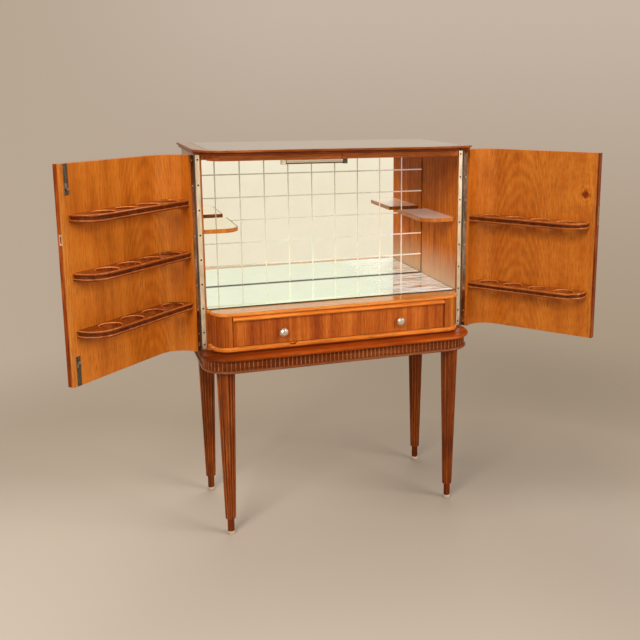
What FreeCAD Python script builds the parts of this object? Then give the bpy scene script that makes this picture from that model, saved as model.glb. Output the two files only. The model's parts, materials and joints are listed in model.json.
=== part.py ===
import FreeCAD, Part
import math
import os
from FreeCAD import Vector

os.makedirs("parts", exist_ok=True)

# A bar cabinet: a case with two bowed doors, a drawer and a mirrored bay, on a fluted stand.
# Millimetres. X runs to the right, Y to the back and Z up. Every piece is first set out from
# the line of the hinge pins (y = 0) and the middle of the case (x = 0), with the floor at z = 0.
# The doors are modelled shut and then swung to the angle at which they rest.

# Case
case_half_width = 447.0
side_thickness = 19.0
side_back = 345.0
back_recess = 12.7
ledge_top = 614.0
top_underside = 1238.0
deck_top = 746.0
seat_gap = 0.3
overrun = 5.0
near_share = 0.01

# Doors
door_thickness = 21.0
door_reach = 105.0
door_bow_radius = 93.0
door_bottom_gap = 4.5
door_top_gap = 2.8
door_meeting_gap = 2.0
door_lipping_width = 14.0
left_open_deg = 136.2
right_open_deg = 128.4

# Hinges
pin_stand_off = 3.0
hinge_gap = 3.0
barrel_radius = 2.75
pin_radius = 1.2
pin_clearance = 0.1
leaf_thickness = 1.2
leaf_width = 16.0
knuckle_count = 5
knuckle_gap = 0.3
hinge_end_gap = 1.0

# Bay that bulges forward between the sides: deck, drawer posts, bottom board and header
bay_step = 5.0
bay_set_back = 11.0
bay_corner_easing = 16.0
bay_face_inset = 5.0

# Mouldings round the stand and the top share one corner centre
mould_overhang = 15.0
mould_overhang_front = 13.0
mould_overhang_back = 7.0
mould_corner_easing = 8.0

# Stand
leg_front_from_side = 77.0
leg_back_from_side = 64.0
leg_front_from_front = 64.6
leg_back_from_back = 59.0
leg_foot_height = 56.0
leg_radius_top = 30.5
leg_radius_ankle = 17.0
leg_flute_count = 14
round_sides = 24
leg_flute_depth_share = 0.07
leg_flute_shares = [(0, 0), (0.3, 1), (0.7, 1)]
foot_radius = 11.3
glide_radius = 13.2
glide_height = 10.0
ledge_thickness = 12.0
ledge_ease = 3.6
apron_bottom = 562.0
apron_inset = 13.0
apron_thickness = 13.0
apron_flute_pitch = 13.9
apron_flute_depth = 2.6
apron_flute_shares = [(0, 0), (0.5, 1)]
bead_height = 8.0
bead_inset = 7.0
bead_ease = 2.4

# Bottom board of the case
bottom_thickness = 21.0
bottom_plinth_height = 6.0
bottom_plinth_inset = 7.0
bottom_bead_ease = 4.2
scoop_x = -170.0
scoop_radius = 19.0
scoop_depth = 5.5

# Deck over the drawer
deck_thickness = 11.5
deck_ease = 3.3
deck_glass_thickness = 3.0
deck_glass_front = 2.0

# Back
mirror_thickness = 4.0
back_panel_thickness = 12.0

# Header
header_height = 20.0
header_thickness = 18.0
header_ease = 2.4
header_slot_width = 1.6
header_slot_depth = 3.0

# Top
top_thickness = 16.0
top_upper_height = 9.0
top_upper_ease = 2.8
top_lower_inset = 6.0
top_glass_border = 42.0
top_glass_border_front = 30.0
top_glass_thickness = 4.0
top_glass_corner_radius = 62.0

# Corner posts and drawer guides
post_width = 57.0
post_back = 20.0
guide_width = 18.0
guide_height = 20.0
guide_gap = 0.5

# Drawer
drawer_set_back = 11.0
drawer_front_gap_side = 2.0
drawer_front_thickness = 19.0
drawer_front_gap_bottom = 1.5
drawer_front_gap_top = 1.0
drawer_box_inset = 7.0
drawer_side_thickness = 12.0
drawer_side_height = 77.0
drawer_back_room = 30.3
drawer_back_drop = 8.0
drawer_bottom_rise = 6.0
drawer_bottom_thickness = 5.0
drawer_groove_depth = 5.0
lip_height = 17.0
lip_reach = 12.0
lip_edge_height = 9.0

# Knobs
knob_x = 199.0
knob_drop = 5.0
knob_radius = 15.0
knob_neck_radius = 7.0
knob_depth = 13.0
knob_table_radius = 7.5
rosette_radius = 10.0
rosette_thickness = 2.5
knob_neck_length = 3.0
knob_facets = 8
knob_widest_from_share = 0.3
knob_widest_to_share = 0.5

# Side shelves
shelf_height_share = 0.5163
shelf_thickness = 13.0
shelf_width = 116.0
shelf_front = 14.0
shelf_back_gap = 44.0
shelf_corner_radius = 52.0
shelf_edge_thickness = 4.0

# Lamp under the top
lamp_left = -186.0
lamp_length = 214.0
lamp_y = -22.0
lamp_base_width = 32.0
lamp_base_height = 10.0
lamp_holder_length = 14.0
lamp_holder_width = 26.0
lamp_holder_drop = 28.0
lamp_tube_radius = 12.0
lamp_tube_drop = 15.0

# Racks on the doors
rack_thickness = 22.0
rack_bead = 7.0
rack_bead_ease = 1.8
rack_cove = 4.0
rack_front = -6.0
rack_free_end = 25.0
rack_end_easing = 12.0
rack_end_runs = 6
rack_hole_wall = 8.0
rack_holes_left_from = 87.0
rack_holes_left_to = 50.0
rack_holes_right_from = 64.0
rack_holes_right_to = 62.0
rack_hole_count = 4
rack_lowest_share = 0.257
rack_left_rise_share = 0.2619
rack_right_rise_share = 0.3778

# Flush bolts on the left door
bolt_plate_margin = 0.7
bolt_plate_width = 16.0
bolt_plate_length = 85.0
bolt_plate_thickness = 1.5
bolt_width = 8.0
bolt_thickness = 4.0
bolt_length = 62.0
bolt_clearance = 0.3
bolt_throw = 12.0
bolt_bed = 0.6
thumb_radius = 4.0
thumb_height = 6.0
thumb_from_end = 6.0
keeper_hole_depth = 11.0

# Lock in the right door and its keeper in the left one
lock_height_share = 0.6705
lock_plate_height = 64.0
lock_plate_width = 11.0
lock_plate_thickness = 2.0
lock_case_height = 48.0
lock_case_length = 44.0
lock_case_width = 9.0
lock_bolt_height = 18.0
lock_bolt_width = 5.0
lock_bolt_length = 24.0
lock_bolt_clearance = 0.25
lock_throw = 7.0
keeper_height = 30.0
key_set_back = 28.0
keyhole_radius = 3.0
keyhole_slot_width = 3.0
keyhole_slot_drop = 9.0
escutcheon_half_width = 8.0
escutcheon_half_height = 17.0
escutcheon_thickness = 1.2

# Worked out from the sizes above
pin_x = case_half_width + pin_stand_off
side_front = hinge_gap / 2
side_inner = case_half_width - side_thickness
bay_half_width = side_inner - bay_step
bay_reach = door_reach - door_thickness - bay_set_back
bay_corner_radius = door_bow_radius - door_thickness - bay_corner_easing
mould_half_width = case_half_width + mould_overhang
mould_reach = door_reach + mould_overhang_front
mould_corner_radius = door_bow_radius + mould_corner_easing
top_back = side_back + mould_overhang_back
door_bottom = ledge_top + door_bottom_gap
door_top = top_underside - door_top_gap
door_face_inner = -door_reach + door_thickness
lock_z = door_bottom + (door_top - door_bottom) * lock_height_share
door_inner_radius = door_bow_radius - door_thickness
door_arc_x = case_half_width - door_bow_radius
door_arc_y = -door_reach + door_bow_radius
door_end = door_meeting_gap / 2
door_middle = -door_reach + door_thickness / 2
ledge_underside = ledge_top - ledge_thickness
bottom_top = ledge_top + bottom_thickness
deck_underside = deck_top - deck_thickness
deck_glass_top = deck_top + deck_glass_thickness
lip_bottom = deck_underside - drawer_front_gap_top - lip_height
knob_z = (bottom_top + drawer_front_gap_bottom + lip_bottom) / 2 - knob_drop
back_panel_front = side_back - back_recess - back_panel_thickness
mirror_back = back_panel_front - seat_gap
mirror_front = mirror_back - mirror_thickness
shelf_back = mirror_front - shelf_back_gap
shelf_top = deck_top + (top_underside - deck_top) * shelf_height_share
post_inner_half = bay_half_width - bay_face_inset - post_width
drawer_face = bay_reach - drawer_set_back
drawer_front_half = post_inner_half - drawer_front_gap_side
drawer_box_half = drawer_front_half - drawer_box_inset
drawer_back_y = back_panel_front - drawer_back_room
rack_hinge_end = door_arc_x + door_inner_radius
rack_depth = rack_front - door_face_inner
rack_end_radius = rack_depth - rack_end_easing
rack_hole_radius = rack_depth / 2 - rack_hole_wall
rack_hole_corner_radius = rack_hole_radius / math.cos(math.pi / round_sides)
bolt_x = -door_end - door_lipping_width - bolt_plate_margin - bolt_plate_width / 2
top_surface = top_underside + top_thickness


def line(a, b):
    return Part.LineSegment(a, b).toShape()


def arc(a, middle, b):
    return Part.Arc(a, middle, b).toShape()


def prism(edges, bottom, top):
    """A solid between two heights, on a closed outline drawn at z = 0."""
    face = Part.Face(Part.Wire(edges))
    face.translate(Vector(0, 0, bottom))
    return face.extrude(Vector(0, 0, top - bottom))


def block(x0, x1, y0, y1, z0, z1):
    return Part.makeBox(x1 - x0, y1 - y0, z1 - z0, Vector(x0, y0, z0))


def rod(radius, start, length, direction):
    return Part.makeCylinder(radius, length, start, direction)


def arc_middle(centre, radius, degrees):
    angle = math.radians(degrees)
    return centre + Vector(radius * math.cos(angle), radius * math.sin(angle), 0)


def bowed_outline(half, front, back, radius):
    """A plan with rounded front corners and square back ones."""
    left = Vector(-half + radius, front + radius, 0)
    right = Vector(half - radius, front + radius, 0)
    a = Vector(-half, back, 0)
    b = Vector(-half, left.y, 0)
    c = Vector(left.x, front, 0)
    d = Vector(right.x, front, 0)
    e = Vector(half, right.y, 0)
    f = Vector(half, back, 0)
    return [
        line(a, b),
        arc(b, arc_middle(left, radius, 225), c),
        line(c, d),
        arc(d, arc_middle(right, radius, 315), e),
        line(e, f),
        line(f, a),
    ]


def mould_outline(inset, back):
    """The plan of the ledge and the top, drawn in by an inset at the front and sides."""
    return bowed_outline(
        mould_half_width - inset, -mould_reach + inset, back, mould_corner_radius - inset
    )


def bay_outline(inset, back):
    """The plan of a board that fills the case and bulges forward between the sides."""
    half = bay_half_width - inset
    radius = bay_corner_radius - inset
    front = -bay_reach + inset
    left = Vector(-half + radius, front + radius, 0)
    right = Vector(half - radius, front + radius, 0)
    a = Vector(-side_inner, back, 0)
    b = Vector(-side_inner, side_front, 0)
    c = Vector(-half, side_front, 0)
    d = Vector(-half, left.y, 0)
    e = Vector(left.x, front, 0)
    f = Vector(right.x, front, 0)
    g = Vector(half, right.y, 0)
    h = Vector(half, side_front, 0)
    i = Vector(side_inner, side_front, 0)
    j = Vector(side_inner, back, 0)
    return [
        line(a, b),
        line(b, c),
        line(c, d),
        arc(d, arc_middle(left, radius, 225), e),
        line(e, f),
        arc(f, arc_middle(right, radius, 315), g),
        line(g, h),
        line(h, i),
        line(i, j),
        line(j, a),
    ]


def ease_front(shape, width, heights, back):
    """Bevels the level edges at the given heights that lie in front of a line."""
    near = width * near_share
    chosen = []
    for edge in shape.Edges:
        centre = edge.CenterOfMass
        box = edge.BoundBox
        level = box.ZLength < near and any(abs(centre.z - z) < near for z in heights)
        if level and centre.y < back - near:
            chosen.append(edge)
    return shape.makeChamfer(width, chosen)


def mirrored(shape):
    return shape.mirror(Vector(0, 0, 0), Vector(1, 0, 0))


# Legs: a scalloped taper of flat strips from the head to the ankle, and a slim round foot


def scalloped_ring(radius, height):
    """Corners of a fluted ring: each flute is an arris, and a hollow of three flat strips."""
    points = []
    step = 360.0 / leg_flute_count
    for i in range(leg_flute_count):
        for share, sink_share in leg_flute_shares:
            away = radius * (1 - leg_flute_depth_share * sink_share)
            points.append(arc_middle(Vector(0, 0, height), away, (i + share) * step))
    return points


def flat_sided(rings):
    """A solid whose rings of corners are joined by flat faces, with a flat face at each end."""
    faces = []
    for low, high in zip(rings, rings[1:]):
        for i, corner in enumerate(low):
            j = (i + 1) % len(low)
            faces.append(flat([corner, low[j], high[j], high[i]]))
    faces.append(flat(rings[0]))
    faces.append(flat(rings[-1]))
    return Part.makeSolid(Part.makeShell(faces))


def flat(points):
    return Part.Face(Part.makePolygon(points + points[:1]))


def even_ring(centre, radius):
    """Corners of a level ring with so many flat sides that it passes for round."""
    step = 360.0 / round_sides
    return [arc_middle(centre, radius, i * step) for i in range(round_sides)]


def facing_ring(centre, radius, sides):
    """Corners of an even ring that faces the front, with a flat side at its right."""
    points = []
    for i in range(sides):
        angle = math.radians((i + 0.5) * 360.0 / sides)
        across = radius * math.cos(angle)
        points.append(centre + Vector(across, 0, radius * math.sin(angle)))
    return points


def facing_round(centre, radius, length):
    """A round pin that runs back from its front middle."""
    back = centre + Vector(0, length, 0)
    return flat_sided([facing_ring(c, radius, round_sides) for c in (back, centre)])


def upright_round(x, y, radius, low, high):
    return flat_sided([even_ring(Vector(x, y, z), radius) for z in (low, high)])


def leg(x, y):
    ankle = scalloped_ring(leg_radius_ankle, leg_foot_height)
    head = scalloped_ring(leg_radius_top, ledge_underside)
    taper = flat_sided([ankle, head])
    foot = upright_round(0, 0, foot_radius, glide_height, leg_foot_height)
    solid = taper.fuse(foot)
    solid.translate(Vector(x, y, 0))
    return solid


def glide(x, y):
    return upright_round(x, y, glide_radius, 0, glide_height)


def leg_places():
    front_x = mould_half_width - leg_front_from_side
    back_x = mould_half_width - leg_back_from_side
    front_y = -mould_reach + leg_front_from_front
    back_y = top_back - leg_back_from_back
    return {
        "leg_front_left": (-front_x, front_y),
        "leg_front_right": (front_x, front_y),
        "leg_back_left": (-back_x, back_y),
        "leg_back_right": (back_x, back_y),
    }


# Apron: a fluted front that turns both corners, plain side and back rails, a bead below


def fluted_path(half, front, radius):
    """Ridge points along the front and round both corners, with the outward directions."""
    left = Vector(-half + radius, front + radius, 0)
    right = Vector(half - radius, front + radius, 0)
    corner_count = max(2, round(radius * math.pi / 2 / apron_flute_pitch))
    front_count = max(2, round((right.x - left.x) / apron_flute_pitch))
    points = []
    for i in range(corner_count):
        points.append((left, radius, 180 + 90.0 * i / corner_count))
    for i in range(front_count):
        share = i / front_count
        centre = left + (right - left) * share
        points.append((centre, radius, 270))
    for i in range(corner_count + 1):
        points.append((right, radius, 270 + 90.0 * i / corner_count))
    return points


def fluted_edges(places, depth):
    """Joins the ridges by hollows of two flat strips."""
    points = []
    for (c0, radius, a0), (c1, _, a1) in zip(places, places[1:]):
        for share, sink_share in apron_flute_shares:
            centre = c0 + (c1 - c0) * share
            away = radius - depth * sink_share
            points.append(arc_middle(centre, away, a0 + (a1 - a0) * share))
    last, radius, angle = places[-1]
    points.append(arc_middle(last, radius, angle))
    return [line(a, b) for a, b in zip(points, points[1:])]


def apron_front():
    half = mould_half_width - apron_inset
    front = -mould_reach + apron_inset
    radius = mould_corner_radius - apron_inset
    inner = radius - apron_thickness
    edges = fluted_edges(fluted_path(half, front, radius), apron_flute_depth)
    left = Vector(-half + radius, front + radius, 0)
    right = Vector(half - radius, front + radius, 0)
    a = arc_middle(right, inner, 0)
    b = arc_middle(right, inner, 270)
    c = arc_middle(left, inner, 270)
    d = arc_middle(left, inner, 180)
    edges.append(line(arc_middle(right, radius, 0), a))
    edges.append(arc(a, arc_middle(right, inner, 315), b))
    edges.append(line(b, c))
    edges.append(arc(c, arc_middle(left, inner, 225), d))
    edges.append(line(d, arc_middle(left, radius, 180)))
    return prism(edges, apron_bottom + bead_height, ledge_underside)


def apron_side():
    outer = mould_half_width - apron_inset
    front = -mould_reach + mould_corner_radius
    return block(
        -outer,
        -outer + apron_thickness,
        front,
        side_back,
        apron_bottom + bead_height,
        ledge_underside,
    )


def apron_back():
    half = mould_half_width - apron_inset - apron_thickness
    return block(
        -half,
        half,
        side_back - apron_thickness,
        side_back,
        apron_bottom + bead_height,
        ledge_underside,
    )


def apron_bead():
    bottom = apron_bottom
    top = apron_bottom + bead_height
    outer = prism(mould_outline(bead_inset, side_back), bottom, top)
    outer = ease_front(outer, bead_ease, [bottom, top], side_back)
    inner_inset = apron_inset + apron_thickness
    inner = prism(
        mould_outline(inner_inset, side_back + overrun), bottom - overrun, top + overrun
    )
    return outer.cut(inner)


def ledge_board():
    board = prism(mould_outline(0, top_back), ledge_underside, ledge_top)
    board = ease_front(board, ledge_ease, [ledge_underside, ledge_top], top_back)
    return board.cut(bolt_room(ledge_top - keeper_hole_depth, ledge_top + overrun))


# Case


def case_side():
    return block(
        -case_half_width, -side_inner, side_front, side_back, ledge_top, top_underside
    )


def case_bottom():
    plinth_top = ledge_top + bottom_plinth_height
    plinth = prism(
        bay_outline(bottom_plinth_inset, back_panel_front), ledge_top, plinth_top
    )
    board = prism(bay_outline(0, back_panel_front), plinth_top, bottom_top)
    board = ease_front(board, bottom_bead_ease, [plinth_top, bottom_top], side_front)
    scoop = rod(
        scoop_radius,
        Vector(
            scoop_x, -bay_reach - overrun, bottom_top + scoop_radius - scoop_depth
        ),
        bay_reach - drawer_face + overrun,
        Vector(0, 1, 0),
    )
    return plinth.fuse(board).cut(scoop).removeSplitter()


def deck_board():
    board = prism(bay_outline(0, back_panel_front), deck_underside, deck_top)
    return ease_front(board, deck_ease, [deck_underside, deck_top], side_front)


def deck_glass():
    return block(
        -side_inner + seat_gap,
        side_inner - seat_gap,
        deck_glass_front,
        mirror_front - seat_gap,
        deck_top,
        deck_glass_top,
    )


def corner_post():
    half = bay_half_width - bay_face_inset
    radius = bay_corner_radius - bay_face_inset
    front = -bay_reach + bay_face_inset
    centre = Vector(-half + radius, front + radius, 0)
    a = Vector(-post_inner_half, front, 0)
    b = Vector(centre.x, front, 0)
    c = Vector(-half, centre.y, 0)
    edges = [line(a, b), arc(b, arc_middle(centre, radius, 225), c)]
    corners = [
        c,
        Vector(-half, side_front, 0),
        Vector(-side_inner, side_front, 0),
        Vector(-side_inner, post_back, 0),
        Vector(-post_inner_half, post_back, 0),
        a,
    ]
    edges += [line(p, q) for p, q in zip(corners, corners[1:])]
    return prism(edges, bottom_top, deck_underside)


def drawer_guide():
    inner = drawer_box_half + guide_gap
    return block(
        -inner - guide_width,
        -inner,
        post_back,
        back_panel_front,
        bottom_top,
        bottom_top + guide_height,
    )


def back_panel():
    return block(
        -side_inner,
        side_inner,
        back_panel_front,
        back_panel_front + back_panel_thickness,
        ledge_top,
        top_underside,
    )


def back_mirror():
    bottom = deck_glass_top + seat_gap
    half = side_inner - seat_gap
    return block(-half, half, mirror_front, mirror_back, bottom, top_underside - seat_gap)


def header_rail():
    bottom = top_underside - header_height
    rail = prism(bay_outline(bay_face_inset, post_back), bottom, top_underside)
    rail = ease_front(rail, header_ease, [bottom], side_front)
    inner = bowed_outline(
        bay_half_width - bay_face_inset - header_thickness,
        -bay_reach + bay_face_inset + header_thickness,
        post_back + overrun,
        bay_corner_radius - bay_face_inset - header_thickness,
    )
    hollow = prism(inner, bottom - overrun, top_underside + overrun)
    slot = block(
        -header_slot_width / 2,
        header_slot_width / 2,
        -bay_reach,
        -bay_reach + bay_face_inset + header_slot_depth,
        bottom - overrun,
        top_underside,
    )
    return rail.cut([hollow, slot])


def top_board():
    split = top_surface - top_upper_height
    upper = prism(mould_outline(0, top_back), split, top_surface)
    upper = ease_front(upper, top_upper_ease, [split, top_surface], top_back)
    lower = prism(mould_outline(top_lower_inset, top_back), top_underside, split)
    recess = prism(
        top_glass_outline(0), top_surface - top_glass_thickness, top_surface + overrun
    )
    hole = bolt_room(top_underside - overrun, top_underside + keeper_hole_depth)
    return upper.fuse(lower).cut([recess, hole]).removeSplitter()


def top_glass_outline(gap):
    return bowed_outline(
        mould_half_width - top_glass_border - gap,
        -mould_reach + top_glass_border_front + gap,
        top_back - top_glass_border_front - gap,
        top_glass_corner_radius - gap,
    )


def top_glass():
    return prism(
        top_glass_outline(seat_gap), top_surface - top_glass_thickness, top_surface
    )


def shelf_outline(inset):
    """The left shelf in plan: square at the wall and back, round at its free front corner."""
    free = -side_inner + shelf_width - inset
    front = shelf_front + inset
    radius = shelf_corner_radius - inset
    centre = Vector(free - radius, front + radius, 0)
    a = Vector(-side_inner, shelf_back, 0)
    b = Vector(-side_inner, front, 0)
    c = Vector(centre.x, front, 0)
    d = Vector(free, centre.y, 0)
    e = Vector(free, shelf_back, 0)
    return [
        line(a, b),
        line(b, c),
        arc(c, arc_middle(centre, radius, 315), d),
        line(d, e),
        line(e, a),
    ]


def shelf():
    return prism(shelf_outline(shelf_edge_thickness), shelf_top - shelf_thickness, shelf_top)


def shelf_edge():
    bottom = shelf_top - shelf_thickness
    whole = prism(shelf_outline(0), bottom, shelf_top)
    core = prism(
        shelf_outline(shelf_edge_thickness), bottom - overrun, shelf_top + overrun
    )
    return whole.cut(core)


# Lamp


def lamp_base():
    base_bottom = top_underside - lamp_base_height
    base = block(
        lamp_left,
        lamp_left + lamp_length,
        lamp_y - lamp_base_width / 2,
        lamp_y + lamp_base_width / 2,
        base_bottom,
        top_underside,
    )
    holders = [
        block(
            x,
            x + lamp_holder_length,
            lamp_y - lamp_holder_width / 2,
            lamp_y + lamp_holder_width / 2,
            base_bottom - lamp_holder_drop,
            base_bottom,
        )
        for x in (lamp_left, lamp_left + lamp_length - lamp_holder_length)
    ]
    return base.fuse(holders).removeSplitter()


def lamp_tube():
    return rod(
        lamp_tube_radius,
        Vector(
            lamp_left + lamp_holder_length,
            lamp_y,
            top_underside - lamp_base_height - lamp_tube_drop,
        ),
        lamp_length - 2 * lamp_holder_length,
        Vector(1, 0, 0),
    )


# Piano hinges: two leaves whose knuckles take turns on one pin, which the case leaf holds


def knuckle_spans():
    bottom = door_bottom + hinge_end_gap
    length = (door_top - door_bottom - 2 * hinge_end_gap) / knuckle_count
    return [
        (bottom + i * length, bottom + (i + 1) * length) for i in range(knuckle_count)
    ]


def hinge_leaf(spans, side):
    """One leaf of the left hinge, on the case (side 1) or on the shut door (side -1)."""
    bottom = door_bottom + hinge_end_gap
    top = door_top - hinge_end_gap
    y0, y1 = sorted((side * side_front, side * (side_front - leaf_thickness)))
    clear = -pin_x + barrel_radius + knuckle_gap
    pieces = [block(clear, -pin_x + leaf_width, y0, y1, bottom, top)]
    for low, high in spans:
        base = low + knuckle_gap / 2
        end = high - knuckle_gap / 2
        barrel = upright_round(-pin_x, 0, barrel_radius, base, end)
        web = block(-pin_x, clear, y0, y1, base, end)
        pieces += [barrel, web]
    return pieces[0].fuse(pieces[1:])


def hinge_case():
    spans = knuckle_spans()
    leaf = hinge_leaf(spans[0::2], 1)
    bottom = spans[0][0] + knuckle_gap
    top = spans[-1][1] - knuckle_gap
    pin = upright_round(-pin_x, 0, pin_radius, bottom, top)
    return leaf.fuse(pin).removeSplitter()


def hinge_door():
    spans = knuckle_spans()
    leaf = hinge_leaf(spans[1::2], -1)
    bore = upright_round(-pin_x, 0, pin_radius + pin_clearance, door_bottom, door_top)
    return leaf.cut(bore).removeSplitter()


# Doors, set out shut, for the left side


def door_panel():
    centre = Vector(-door_arc_x, door_arc_y, 0)
    end = -door_end - door_lipping_width
    inner = door_inner_radius
    a = Vector(-case_half_width, -side_front, 0)
    b = Vector(-case_half_width, centre.y, 0)
    c = Vector(centre.x, -door_reach, 0)
    d = Vector(end, -door_reach, 0)
    e = Vector(end, door_face_inner, 0)
    f = Vector(centre.x, door_face_inner, 0)
    g = Vector(centre.x - inner, centre.y, 0)
    h = Vector(centre.x - inner, -side_front, 0)
    edges = [
        line(a, b),
        arc(b, arc_middle(centre, door_bow_radius, 225), c),
        line(c, d),
        line(d, e),
        line(e, f),
        arc(f, arc_middle(centre, inner, 225), g),
        line(g, h),
        line(h, a),
    ]
    return prism(edges, door_bottom, door_top)


def door_lipping():
    return block(
        -door_end - door_lipping_width,
        -door_end,
        -door_reach,
        door_face_inner,
        door_bottom,
        door_top,
    )


def straight_runs(corner, radius):
    """A quarter turn from the right round to the back, in short straight runs."""
    step = 90.0 / rack_end_runs
    points = [arc_middle(corner, radius, i * step) for i in range(rack_end_runs + 1)]
    return [line(p, q) for p, q in zip(points, points[1:])]


def rack_outline(inset):
    """A rack in plan on the shut left door: it follows the bow and is round at its free end."""
    centre = Vector(-door_arc_x, door_arc_y, 0)
    inner = door_inner_radius - seat_gap
    back = door_face_inner + seat_gap
    front = rack_front - inset
    end = -rack_free_end - inset
    radius = rack_end_radius - inset
    corner = Vector(end - radius, front - radius, 0)
    a = Vector(centre.x, back, 0)
    b = Vector(end, back, 0)
    c = Vector(end, corner.y, 0)
    d = Vector(corner.x, front, 0)
    e = Vector(centre.x - inner, front, 0)
    f = Vector(centre.x - inner, centre.y, 0)
    return [
        line(a, b),
        line(b, c),
        *straight_runs(corner, radius),
        line(d, e),
        line(e, f),
        arc(f, arc_middle(centre, inner, 225), a),
    ]


def rack_bead_edges(shape, heights):
    near = rack_bead_ease * near_share
    back = door_face_inner + rack_cove
    hinge_end = -door_arc_x - door_inner_radius + rack_cove
    chosen = []
    for edge in shape.Edges:
        centre = edge.CenterOfMass
        level = edge.BoundBox.ZLength < near
        level = level and any(abs(centre.z - z) < near for z in heights)
        if level and centre.y > back and centre.x > hinge_end:
            behind_bow = centre.x < -door_arc_x and centre.y < rack_front - near
            if not behind_bow:
                chosen.append(edge)
    return chosen


def rack_top(step, rise_share):
    return door_bottom + (rack_lowest_share + step * rise_share) * (door_top - door_bottom)


def rack(top, from_free_end, from_hinge_end):
    first = rack_free_end + from_free_end
    pitch = (rack_hinge_end - from_hinge_end - first) / (rack_hole_count - 1)
    bottom = top - rack_thickness
    levels = [(bottom, bottom + rack_bead), (top - rack_bead, top)]
    beads = []
    for low, high in levels:
        slab = prism(rack_outline(0), low, high)
        edges = rack_bead_edges(slab, [low, high])
        beads.append(slab.makeChamfer(rack_bead_ease, edges))
    core = prism(rack_outline(rack_cove), bottom + rack_bead, top - rack_bead)
    body = core.fuse(beads).removeSplitter()
    middle = (door_face_inner + seat_gap + rack_front) / 2
    low = bottom - overrun
    high = top + overrun
    holes = [
        upright_round(-first - i * pitch, middle, rack_hole_corner_radius, low, high)
        for i in range(rack_hole_count)
    ]
    return body.cut(holes)


# Flush bolts: a plate let into the door's inner face, and a flat bolt with a round thumb piece.
# Each is set out for the top of the door, with its end edge at z = 0 and the door below it.


def bolt_room(bottom, top):
    """The space of a bolt with its clearance, on the shut door, between two heights."""
    half = bolt_width / 2 + bolt_clearance
    face = door_face_inner - bolt_plate_thickness - bolt_bed
    return block(
        bolt_x - half,
        bolt_x + half,
        face - bolt_thickness - bolt_clearance,
        face + bolt_clearance,
        bottom,
        top,
    )


def bolt_thumb_z():
    return -bolt_length - bolt_throw + thumb_from_end


def bolt_plate():
    plate = block(
        bolt_x - bolt_plate_width / 2,
        bolt_x + bolt_plate_width / 2,
        door_face_inner - bolt_plate_thickness,
        door_face_inner,
        -bolt_plate_length,
        0,
    )
    reach = thumb_radius + bolt_clearance
    slot = block(
        bolt_x - reach,
        bolt_x + reach,
        door_face_inner - bolt_plate_thickness - overrun,
        door_face_inner + overrun,
        bolt_thumb_z() - reach,
        bolt_thumb_z() + bolt_throw + reach,
    )
    return plate.cut(slot)


def bolt_mortise():
    bed = block(
        bolt_x - bolt_plate_width / 2,
        bolt_x + bolt_plate_width / 2,
        door_face_inner - bolt_plate_thickness,
        door_face_inner + overrun,
        -bolt_plate_length,
        overrun,
    )
    channel = bolt_room(-bolt_length - bolt_throw - bolt_clearance, overrun)
    half = bolt_width / 2 + bolt_clearance
    way = block(
        bolt_x - half,
        bolt_x + half,
        door_face_inner - bolt_plate_thickness - bolt_bed,
        door_face_inner,
        -bolt_length - bolt_throw - bolt_clearance,
        overrun,
    )
    return bed.fuse([channel, way])


def flush_bolt():
    face = door_face_inner - bolt_plate_thickness - bolt_bed
    bar = block(
        bolt_x - bolt_width / 2,
        bolt_x + bolt_width / 2,
        face - bolt_thickness,
        face,
        -bolt_length - bolt_throw,
        -bolt_clearance,
    )
    reach = door_face_inner - face + thumb_height
    thumb = facing_round(Vector(bolt_x, face, bolt_thumb_z()), thumb_radius, reach)
    return bar.fuse(thumb)


def at_top(shape):
    moved = shape.copy()
    moved.translate(Vector(0, 0, door_top))
    return moved


def at_bottom(shape):
    """The same fitting turned over, for the bottom of the door."""
    moved = shape.mirror(Vector(0, 0, 0), Vector(0, 0, 1))
    moved.translate(Vector(0, 0, door_bottom))
    return moved


# Lock: set out in the free edge of the left door and mirrored for the right one


def lock_bolt_room(clearance, depth):
    half_z = lock_bolt_height / 2 + clearance
    half_y = lock_bolt_width / 2 + clearance
    return block(
        -door_end - depth,
        -door_end + overrun,
        door_middle - half_y,
        door_middle + half_y,
        lock_z - half_z,
        lock_z + half_z,
    )


def edge_plate(height):
    return block(
        -door_end - lock_plate_thickness,
        -door_end,
        door_middle - lock_plate_width / 2,
        door_middle + lock_plate_width / 2,
        lock_z - height / 2,
        lock_z + height / 2,
    )


def lock_box():
    box = block(
        -door_end - lock_case_length,
        -door_end - lock_plate_thickness,
        door_middle - lock_case_width / 2,
        door_middle + lock_case_width / 2,
        lock_z - lock_case_height / 2,
        lock_z + lock_case_height / 2,
    )
    return box.fuse(edge_plate(lock_plate_height)).removeSplitter()


def key_bore(end):
    front = Vector(-door_end - key_set_back, -door_reach - overrun, lock_z)
    return facing_round(front, keyhole_radius, end - front.y)


def lock_case():
    room = lock_bolt_room(lock_bolt_clearance, lock_bolt_length + lock_bolt_clearance)
    return lock_box().cut([room, key_bore(door_middle)])


def lock_bolt():
    bolt = lock_bolt_room(0, lock_bolt_length)
    trim = block(
        -door_end,
        overrun,
        door_face_inner - door_thickness,
        door_face_inner,
        door_bottom,
        door_top,
    )
    return bolt.cut(trim)


def lock_keeper():
    throw = lock_throw + lock_bolt_clearance
    return edge_plate(keeper_height).cut(lock_bolt_room(lock_bolt_clearance, throw))


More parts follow.
